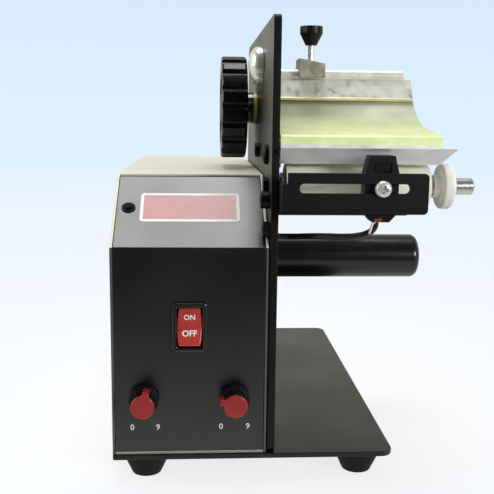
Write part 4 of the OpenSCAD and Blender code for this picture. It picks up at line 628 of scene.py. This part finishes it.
def break_edges(piece, width, segments=2, angle=35):
    """Round the edges that turn by more than an angle in degrees."""
    apply_modifier(piece, "BEVEL", width=width * MM, segments=segments, limit_method="ANGLE",
                   angle_limit=radians(angle), use_clamp_overlap=False)


def smooth(piece, sharp=50):
    """Smooth shading that keeps flat faces flat and breaks at sharp edges."""
    only(piece)
    bpy.ops.object.shade_smooth_by_angle(angle=radians(sharp))
    apply_modifier(piece, "WEIGHTED_NORMAL", keep_sharp=True, weight=100)


def stand_for(piece, node, finish):
    """Let a finished piece take a CAD node's place and body."""
    settle(piece, body_of(frame["nodes"][node])[0], finish)
    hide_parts(node)
    return piece


def rounded(node, finish, width):
    """A copy of a CAD node with rounded edges, in the node's place."""
    piece = joined_copy(node)
    break_edges(piece, width)
    smooth(piece)
    return stand_for(piece, node, finish)


print("helpers for rounded copies ready")


# %% Solids with rounded edges
def piece_box(piece):
    """The lowest and highest corner of a finished piece."""
    points = [vertex.co for vertex in piece.data.vertices]
    return tuple(Vector(end(point[i] for point in points) for i in range(3)) for end in (min, max))


def size_of(piece):
    """The width, depth and height of a finished piece, in millimetres."""
    low, high = piece_box(piece)
    return [round(value / MM, 2) for value in high - low]


def growth(node, piece):
    """How far, in millimetres, a finished piece's box differs from its solid's."""
    changes = [old - new for old, new in zip(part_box(node), piece_box(piece))]
    return max(abs(value) for change in changes for value in change) / MM


SOLIDS = [
    ("base_plate", "base_sheet", base_coat, 0.35), ("side_plate", "side_sheet", plate_coat, 0.4),
    ("cover", "cover_sheet", cover_coat, 0.3), ("floor_pan", "cover_sheet", cover_coat, 0.25),
    ("reset_button", "black_plastic", soft_black, 0.5), ("rubber_feet", "rubber", soft_black, 0.3),
    ("cable_grommet", "rubber", soft_black, 0.35), ("cover_screws", "zinc_steel", zinc, 0.3),
    ("plate_bushes", "bronze", bronze, 0.15), ("rocker_bezel", "gloss_black", gloss_black, 0.7),
    ("button_bushing", "black_plastic", soft_black, 0.1),
    ("length_knob", "black_plastic", grained_black, 0.25),
    ("speed_knob", "black_plastic", grained_black, 0.25), ("length_knob_cap", "red_plastic", clear_red, 0.6),
    ("speed_knob_cap", "red_plastic", clear_red, 0.6), ("counter_window", "window_plastic", red_window, 0.15),
    ("dc_inlet", "black_plastic", grained_black, 0.2), ("peel_plate", "deck_sheet", satin, 0.12),
    ("platform_bolts", "black_steel", blackened, 0.35), ("bar_bracket", "zinc_steel", zinc, 0.25),
    ("bar_nut", "bright_steel", bright, 0.2), ("press_bar", "bright_steel", satin_nickel, 0.12),
    ("press_leaf", "leaf_sheet", spangled, 0.1), ("guide_block", "block_steel", ground_steel, 0.4),
    ("sensor_body", "black_plastic", grained_black, 0.25),
    ("supply_spindle", "black_plastic", tube_black, 0.3),
    ("brake_roller", "aluminium", machined, 0.3), ("brake_wheel", "black_plastic", wheel_black, 0.12),
    ("liner_idler", "idler_plastic", turned_cream, 0.4), ("guide_shaft", "bright_steel", turned, 0.12),
    ("drive_roller", "roller_rubber", drive_rubber, 0.4), ("pinch_roller", "roller_pale", pale_rubber, 0.4),
]
finished = {node: rounded(node, finish, width) for node, slot, finish, width in SOLIDS}
largest = max(growth(node, piece) for node, piece in finished.items())
print(len(finished), "solids with rounded edges; the largest change of a box is", round(largest, 3), "mm")

# %% [markdown]
# The front rims of the cover and of the floor pan are cut edges. They are coloured grey as painted shade,
# since they face the front, and the side plate's faces that lean to the front get the duller, darker coat,
# also painted shade. The leaf's rolled hem gets a pale warm yellow, and the wheel's hub was polished on the
# lathe. All are faces of a finished piece, so a second finish is enough.

# %% Faces with a finish of their own
HEM_Y, HEM_Z, HEM_R = 51.8, 166.4, 1.1
HUB_X, HUB_R, WHEEL_Y, WHEEL_Z = 66.25, 9.5, 100, 162.1
LEANS_FRONT, SQUARE_FRONT = -0.3, -0.9      # a normal's y for faces that lean to the front, or face it
COVER_RIM, PAN_RIM = 0.5, 0.1               # how far back the rims reach


def millimetres(point):
    """A point of the frame in the machine's millimetres."""
    return (Vector(point) - corner) / MM


def paint(piece, finish, test):
    """Give a second finish to the faces whose middle, in millimetres, and normal pass a test."""
    piece.data.materials.append(finish)
    chosen = [face for face in piece.data.polygons if test(millimetres(face.center), face.normal)]
    for face in chosen:
        face.material_index = len(piece.data.materials) - 1
    return len(chosen)


# Painted shade on faces turned to the front: the cover's and the pan's rims and the side plate's front faces.
rims = paint(finished["cover"], cover_rim_shade,
             lambda spot, normal: normal.y < LEANS_FRONT and spot.y < COVER_RIM)
rims += paint(finished["floor_pan"], pan_rim_shade,
              lambda spot, normal: normal.y < SQUARE_FRONT and spot.y < PAN_RIM)
rims += paint(finished["side_plate"], dull_black_and_shade, lambda spot, normal: normal.y < LEANS_FRONT)
hem = paint(finished["press_leaf"], hem_zinc,
            lambda spot, normal: (spot.y - HEM_Y) ** 2 + (spot.z - HEM_Z) ** 2 < HEM_R ** 2)
hub = paint(finished["brake_wheel"], hub_black, lambda spot, normal: spot.x > HUB_X
            and (spot.y - WHEEL_Y) ** 2 + (spot.z - WHEEL_Z) ** 2 < HUB_R ** 2)
print(rims, "rim faces,", hem, "hem faces,", hub, "hub faces")

# %% [markdown]
# The front panel is one sheet, folded once. A press brake leaves an outer radius about as large as
# the sheet is thick, and that round catches the front lamp as a thin line along the fold. It is
# larger than the round of a cut edge, so the fold is picked by its place and rounded first.

# %% Front panel
FOLD_REACH = 0.65
NEAR = 0.01     # a point this near a plane, in millimetres, counts as on it


def pick(piece, kind, test):
    """In edit mode, select the faces, edges or vertices whose middle, in millimetres, passes a test."""
    bpy.ops.object.mode_set(mode="EDIT")
    bpy.ops.mesh.select_mode(type=kind)
    bpy.ops.mesh.select_all(action="DESELECT")
    bpy.ops.object.mode_set(mode="OBJECT")
    mesh = piece.data
    spots = [vertex.co for vertex in mesh.vertices]
    if kind == "VERT":
        parts, middles = mesh.vertices, spots
    elif kind == "EDGE":
        ends = [edge.vertices for edge in mesh.edges]
        parts, middles = mesh.edges, [(spots[a] + spots[b]) / 2 for a, b in ends]
    else:
        parts, middles = mesh.polygons, [face.center for face in mesh.polygons]
    chosen = [part for part, middle in zip(parts, middles) if test(millimetres(middle), part)]
    for part in chosen:
        part.select = True
    bpy.ops.object.mode_set(mode="EDIT")
    return len(chosen)


def round_picked(piece, width, segments, test, clamp=False):
    """Round the edges that pass a test by a width in millimetres, and say how many there were."""
    count = pick(piece, "EDGE", test)
    bpy.ops.mesh.bevel(offset=width * MM, segments=segments, affect="EDGES", clamp_overlap=clamp)
    bpy.ops.object.mode_set(mode="OBJECT")
    return count


panel = joined_copy("front_panel")
spots = [millimetres(vertex.co) for vertex in panel.data.vertices]
fold_z = max(spot.z for spot in spots if spot.y < NEAR)
count = round_picked(panel, FOLD_REACH, 4, lambda spot, edge: spot.z > fold_z - NEAR and spot.y < NEAR)
break_edges(panel, 0.35)
smooth(panel)
stand_for(panel, "front_panel", panel_coat)
print("fold at", round(fold_z, 2), "mm,", count, "edges rounded")

# %% [markdown]
# The curved sheet is one strip of spring steel, bent up from a low lip, over a long ramp to a crest. A cut
# just above its lower edge parts a thin band, and the band's faces that lean to the front get a bright
# finish, a pale line along the sheet's foot.

# %% Curved sheet
PALE_BAND_Z, PALE_BAND_DEPTH = 145.3, 0.5


def cut(place, normal):
    """Cut the faces of the active piece along a plane, and leave them joined."""
    bpy.ops.object.mode_set(mode="EDIT")
    bpy.ops.mesh.select_all(action="SELECT")
    bpy.ops.mesh.bisect(plane_co=place, plane_no=normal)
    bpy.ops.object.mode_set(mode="OBJECT")


sheet = joined_copy("curved_sheet")
break_edges(sheet, 0.15)
cut(at(0, 0, PALE_BAND_Z), (0, 0, 1))
smooth(sheet)
stand_for(sheet, "curved_sheet", passivation_and_shade)
# The band's front faces get the bright finish, a pale line along the foot.
pale_band = paint(sheet, satin_nickel,
             lambda spot, normal: spot.z < PALE_BAND_Z and spot.y < PALE_BAND_DEPTH and normal.y < LEANS_FRONT)
print(pale_band, "bare faces")

# %% [markdown]
# The sensor's bracket is a laser-cut bar with a bent ear. Only its front outline was deburred, so
# only those edges are rounded, picked by where they lie.

# %% Sensor bracket
FRONT_Y = -14
bracket = joined_copy("sensor_bracket")
count = round_picked(bracket, 0.3, 2, lambda spot, edge: spot.y < FRONT_Y + NEAR, clamp=True)
smooth(bracket)
stand_for(bracket, "sensor_bracket", dull_black_and_shade)
print(count, "edges rounded on the bracket")

# %% [markdown]
# The rocker is moulded in clear red and bulges at the middle like a barrel. The solid gives its
# two tilted faces; cutting it into bands and narrowing each band toward the tips gives the bulge.

# %% Rocker
PIVOT, TILT = at(36, 1, 61.6), radians(10)
CUTS = (-7.2, -5, -2.6, 2.6, 5, 7.2)
# Corners between two distances from the pivot keep this share of their width.
BANDS = ((2.3, 3, 0.985), (4.7, 5.3, 0.95), (6.9, 7.5, 0.9), (7.9, 12, 0.85))
up = Vector((0, sin(TILT), cos(TILT)))
rocker = joined_copy("rocker")
for level in CUTS:
    cut(PIVOT + up * level * MM, up)
for low, high, share in BANDS:
    pick(rocker, "VERT", lambda spot, vertex: low < abs((vertex.co - PIVOT).dot(up)) / MM < high)
    bpy.ops.transform.resize(value=(share, 1, 1), center_override=PIVOT)
bpy.ops.object.mode_set(mode="OBJECT")
break_edges(rocker, 0.45, segments=3, angle=50)
smooth(rocker, 60)
stand_for(rocker, "rocker", rocker_red)
print("rocker", size_of(rocker), "mm")

# %% [markdown]
# The words on the rocker, the marks at the knobs and the frame round the counter's window are
# screen printed: a film of ink less than a tenth of a millimetre thick. Text is made as a curve,
# turned into a mesh and laid on the face, so it stays sharp at any distance.

# %% Printed words
INK = 0.08
MARK_Z, MARK_HEIGHT = 13.3, 2.8


def printed(name, words, height, place, lean, body, bold):
    """Words as a film of ink, leaning by degrees about the x axis; bold widens their strokes."""
    bpy.ops.object.text_add()
    label = bpy.context.object
    label.name = name
    label.data.body = words
    label.data.align_x, label.data.align_y = "CENTER", "CENTER"
    label.data.extrude, label.data.offset, label.data.resolution_u = 0.5, bold, 3
    only(label)
    bpy.ops.object.convert(target="MESH")
    label = bpy.context.object
    size = height * MM / label.dimensions.y
    label.scale = (size, size, INK * MM)
    label.rotation_euler = (radians(lean), 0, 0)
    label.location = place
    return settle(label, body, ink)


rocker_body = body_of(frame["nodes"]["rocker"])[0]
printed("print_on", "ON", 2.5, at(36, -0.92, 66.3), 88.6, rocker_body, 0.02)
printed("print_off", "OFF", 2.9, at(36, -2.03, 59.0), 71.4, rocker_body, 0.02)
MARKS = ((9.3, "0"), (21.3, "9"), (50.7, "0"), (63.3, "9"))
for x, digit in MARKS:
    printed("mark_%s_%d" % (digit, x), digit, MARK_HEIGHT, at(x, -0.03, MARK_Z), 90, "machine", 0.01)
print(2 + len(MARKS), "printed words and marks")

# %% [markdown]
# The frame round the window is printed in the same white. A flat plate with rounded corners,
# inset and emptied, leaves a band of even width, and a short extrusion gives the ink its body.

# %% Printed frame of the window
SLOPE, FOLD_Z, UP_SLOPE = radians(36.158), 98.3, 27.1
FRAME_W, FRAME_H, FRAME_CORNER, FRAME_BAND = 47, 19.6, 1.6, 1.5
GAP = 0.02      # how far the ink stands off the panel
bpy.ops.mesh.primitive_plane_add(size=1)
ring = bpy.context.object
ring.name = "window_frame"
ring.scale = (FRAME_W * MM, FRAME_H * MM, 1)
bpy.ops.object.transform_apply(location=False, rotation=False, scale=True)
bpy.ops.object.mode_set(mode="EDIT")
bpy.ops.mesh.select_all(action="SELECT")
bpy.ops.mesh.bevel(offset=FRAME_CORNER * MM, segments=6, affect="VERTICES")
bpy.ops.mesh.inset(thickness=FRAME_BAND * MM)
bpy.ops.mesh.delete(type="FACE")
bpy.ops.mesh.select_all(action="SELECT")
bpy.ops.mesh.extrude_region_move(TRANSFORM_OT_translate={"value": (0, 0, INK * MM)})
bpy.ops.mesh.select_all(action="SELECT")
bpy.ops.mesh.normals_make_consistent(inside=False)
bpy.ops.object.mode_set(mode="OBJECT")
ring.rotation_euler = (SLOPE, 0, 0)
ring.location = at(36, UP_SLOPE * cos(SLOPE) - GAP * sin(SLOPE),
                   FOLD_Z + UP_SLOPE * sin(SLOPE) + GAP * cos(SLOPE))
settle(ring, "machine", ink)
print("frame of", len(ring.data.polygons), "faces")

# %% [markdown]
# The screw that clamps the sensor has a domed head with a cross recess: turned, punched, then
# nickelled bright. A cylinder with its front edge rounded over most of its height gives the
# dome, and two crossed bars cut the recess.

# %% Sensor screw
SCREW_X, SCREW_Z, HEAD_R, HEAD_H, DOME = 120, 126.8, 3.7, 2.6, 2.1
RECESS, RECESS_TURN = (3.6, 2.4, 1.0), 0.3
SHANK_R, SHANK_END, SHANK_IN = 1.5, -7.4, 0.1


def rod(name, axis, low, high, centre, radius, sides=48):
    """A cylinder along x or y between two places in millimetres; centre is its place on the other two."""
    middle = (low + high) / 2
    place, turn = (middle, *centre), (0, pi / 2, 0)
    if axis == "y":
        place, turn = (centre[0], middle, centre[1]), (pi / 2, 0, 0)
    bpy.ops.mesh.primitive_cylinder_add(vertices=sides, radius=radius * MM, depth=(high - low) * MM,
                                        location=at(*place), rotation=turn)
    piece = bpy.context.object
    piece.name = name
    bpy.ops.object.transform_apply(location=True, rotation=True, scale=True)
    return piece


head = rod("sensor_screw_head", "y", FRONT_Y - HEAD_H, FRONT_Y, (SCREW_X, SCREW_Z), HEAD_R)
round_picked(head, DOME, 7, lambda spot, edge: spot.y < FRONT_Y - HEAD_H + NEAR)
for turn in (RECESS_TURN, RECESS_TURN + pi / 2):
    bpy.ops.mesh.primitive_cube_add(size=1, location=at(SCREW_X, FRONT_Y - HEAD_H, SCREW_Z),
                                    rotation=(0, turn, 0), scale=[side * MM for side in RECESS])
    bar = bpy.context.object
    apply_modifier(head, "BOOLEAN", operation="DIFFERENCE", object=bar, solver="EXACT")
    bpy.data.objects.remove(bar)
shank = rod("sensor_screw_shank", "y", FRONT_Y - SHANK_IN, SHANK_END, (SCREW_X, SCREW_Z), SHANK_R, 24)
only(head)
shank.select_set(True)
bpy.ops.object.join()
smooth(head, 35)
stand_for(head, "sensor_screw", bright)
print("screw head", len(head.data.polygons), "faces")

# %% [markdown]
# The thumb screw is a steel rod moulded into a fluted black knob. It turns as one, so it stays
# one piece, and the faces below the knob get the metal's finish.

# %% Thumb screw
KNOB_LOW = 193.4
thumb = joined_copy("thumb_screw")
smooth(thumb, 40)
stand_for(thumb, "thumb_screw", grained_black)
rod_faces = paint(thumb, bright, lambda spot, normal: spot.z < KNOB_LOW - NEAR)
print(rod_faces, "rod faces")

# %% [markdown]
# The liner disc is turned from nylon bar: a sleeve that runs on the shaft, with a flange that
# keeps the liner from walking off. It starts as a cylinder; two cuts mark the flange, whose band
# of faces is pushed out, and the flange's rims are rounded.

# %% Liner disc
DISC_X, DISC_END, FLANGE_X, FLANGE_END = 150.7, 160.7, 153.5, 159.0
SHAFT_Y, SHAFT_Z, SLEEVE_R, FLANGE_R = 16, 125.6, 5.4, 10.7
BORE_R, RIM_ROUND, RIM_FROM = 4.1, 1.4, FLANGE_R - 0.2
disc = rod("liner_disc_turned", "x", DISC_X, DISC_END, (SHAFT_Y, SHAFT_Z), SLEEVE_R, 72)
for x in (FLANGE_X, FLANGE_END):
    cut(at(x, 0, 0), (1, 0, 0))
band = pick(disc, "FACE", lambda spot, face: FLANGE_X < spot.x < FLANGE_END and abs(face.normal.x) < 0.1)
bpy.ops.mesh.extrude_region_shrink_fatten(TRANSFORM_OT_shrink_fatten={"value": (FLANGE_R - SLEEVE_R) * MM})
round_picked(disc, RIM_ROUND, 5, lambda spot, edge:
             (spot.y - SHAFT_Y) ** 2 + (spot.z - SHAFT_Z) ** 2 > RIM_FROM ** 2
             and min(abs(spot.x - FLANGE_X), abs(spot.x - FLANGE_END)) < NEAR)
drill = rod("drill", "x", DISC_X - 1, DISC_END + 1, (SHAFT_Y, SHAFT_Z), BORE_R)
apply_modifier(disc, "BOOLEAN", operation="DIFFERENCE", object=drill, solver="EXACT")
bpy.data.objects.remove(drill)
smooth(disc, 40)
stand_for(disc, "liner_disc", turned_nylon)
print("disc", size_of(disc), "mm,", band, "faces pushed out")

# %% [markdown]
# Between the hub and the plate sits a pressed washer, plated and passivated yellow. It starts as
# a short rod whose two rims are broken by a bevel.

# %% Washer
WASHER_X, WASHER_END, WASHER_R = 70.5, 72.5, 8.9
washer = rod("brake_washer_pressed", "x", WASHER_X, WASHER_END, (WHEEL_Y, WHEEL_Z), WASHER_R)
break_edges(washer, 0.25, angle=60)
smooth(washer, 40)
stand_for(washer, "brake_washer", yellow)
print("washer", size_of(washer), "mm")

# %% [markdown]
# The sensor looks through a dark infrared filter set into its head. Below its chin one white
# conductor leaves the black lead and ends on a copper tag. The filter and the tag are small
# blocks with broken edges, and the conductor is a thin curve like the lead.

# %% Sensor filter, conductor and tag
WIRE_R = 0.55
WIRE = ((118.2, -10.4, 112.4), (116.6, -10.8, 111.2), (116.1, -10.2, 109), (115.8, -8.6, 106.6))
sensor_carrier = body_of(frame["nodes"]["sensor_body"])[0]


def small_block(name, place, size, width, finish):
    """A block with rounded edges that rides with the sensor, from measures in millimetres."""
    bpy.ops.mesh.primitive_cube_add(size=1, location=at(*place), scale=[side * MM for side in size])
    block = bpy.context.object
    block.name = name
    break_edges(block, width)
    settle(block, sensor_carrier, finish)


small_block("sensor_filter", (120, -11.2, 136.1), (7.4, 0.5, 3.4), 0.2, gloss_black)
wire = as_mesh(smooth_line("white_conductor", [at(*point) for point in WIRE], WIRE_R * MM, 3))
settle(wire, sensor_carrier, white_wire)
small_block("copper_tag", (118.6, -11.9, 112.9), (3.4, 0.4, 1.7), 0.15, copper)
print("conductor of", len(wire.data.polygons), "faces, with a filter and a tag")

# %% [markdown]
# The other solids are small or sit inside the box. Their plain meshes are right as they are, so
# they only get the finish of their kind: zinc plate on brackets, shafts and screws, black oxide
# on cap screws, machined aluminium on pulleys.

# %% Finishes of the solids that keep their mesh
KEPT = {
    zinc: ["foot_screws", "plate_angle", "motor_bracket", "potentiometers", "drive_shaft", "pinch_axle",
           "spindle_axle", "brake_shaft"],
    blackened: ["plate_screws", "shaft_screw"], soft_black: ["drive_belt"],
    machined: ["length_shaft", "speed_shaft", "motor_pulley", "drive_pulley"], motor_can: ["gear_motor"],
    board_green: ["display_board", "control_board"],
}
for finish, nodes in KEPT.items():
    for node in nodes:
        mesh = frame["nodes"][node].data
        mesh.materials.clear()
        mesh.materials.append(finish)
print(sum(len(nodes) for nodes in KEPT.values()), "solids keep their mesh")

# %% [markdown]
# Last, the view layer is brought up to date.

bpy.context.view_layer.update()
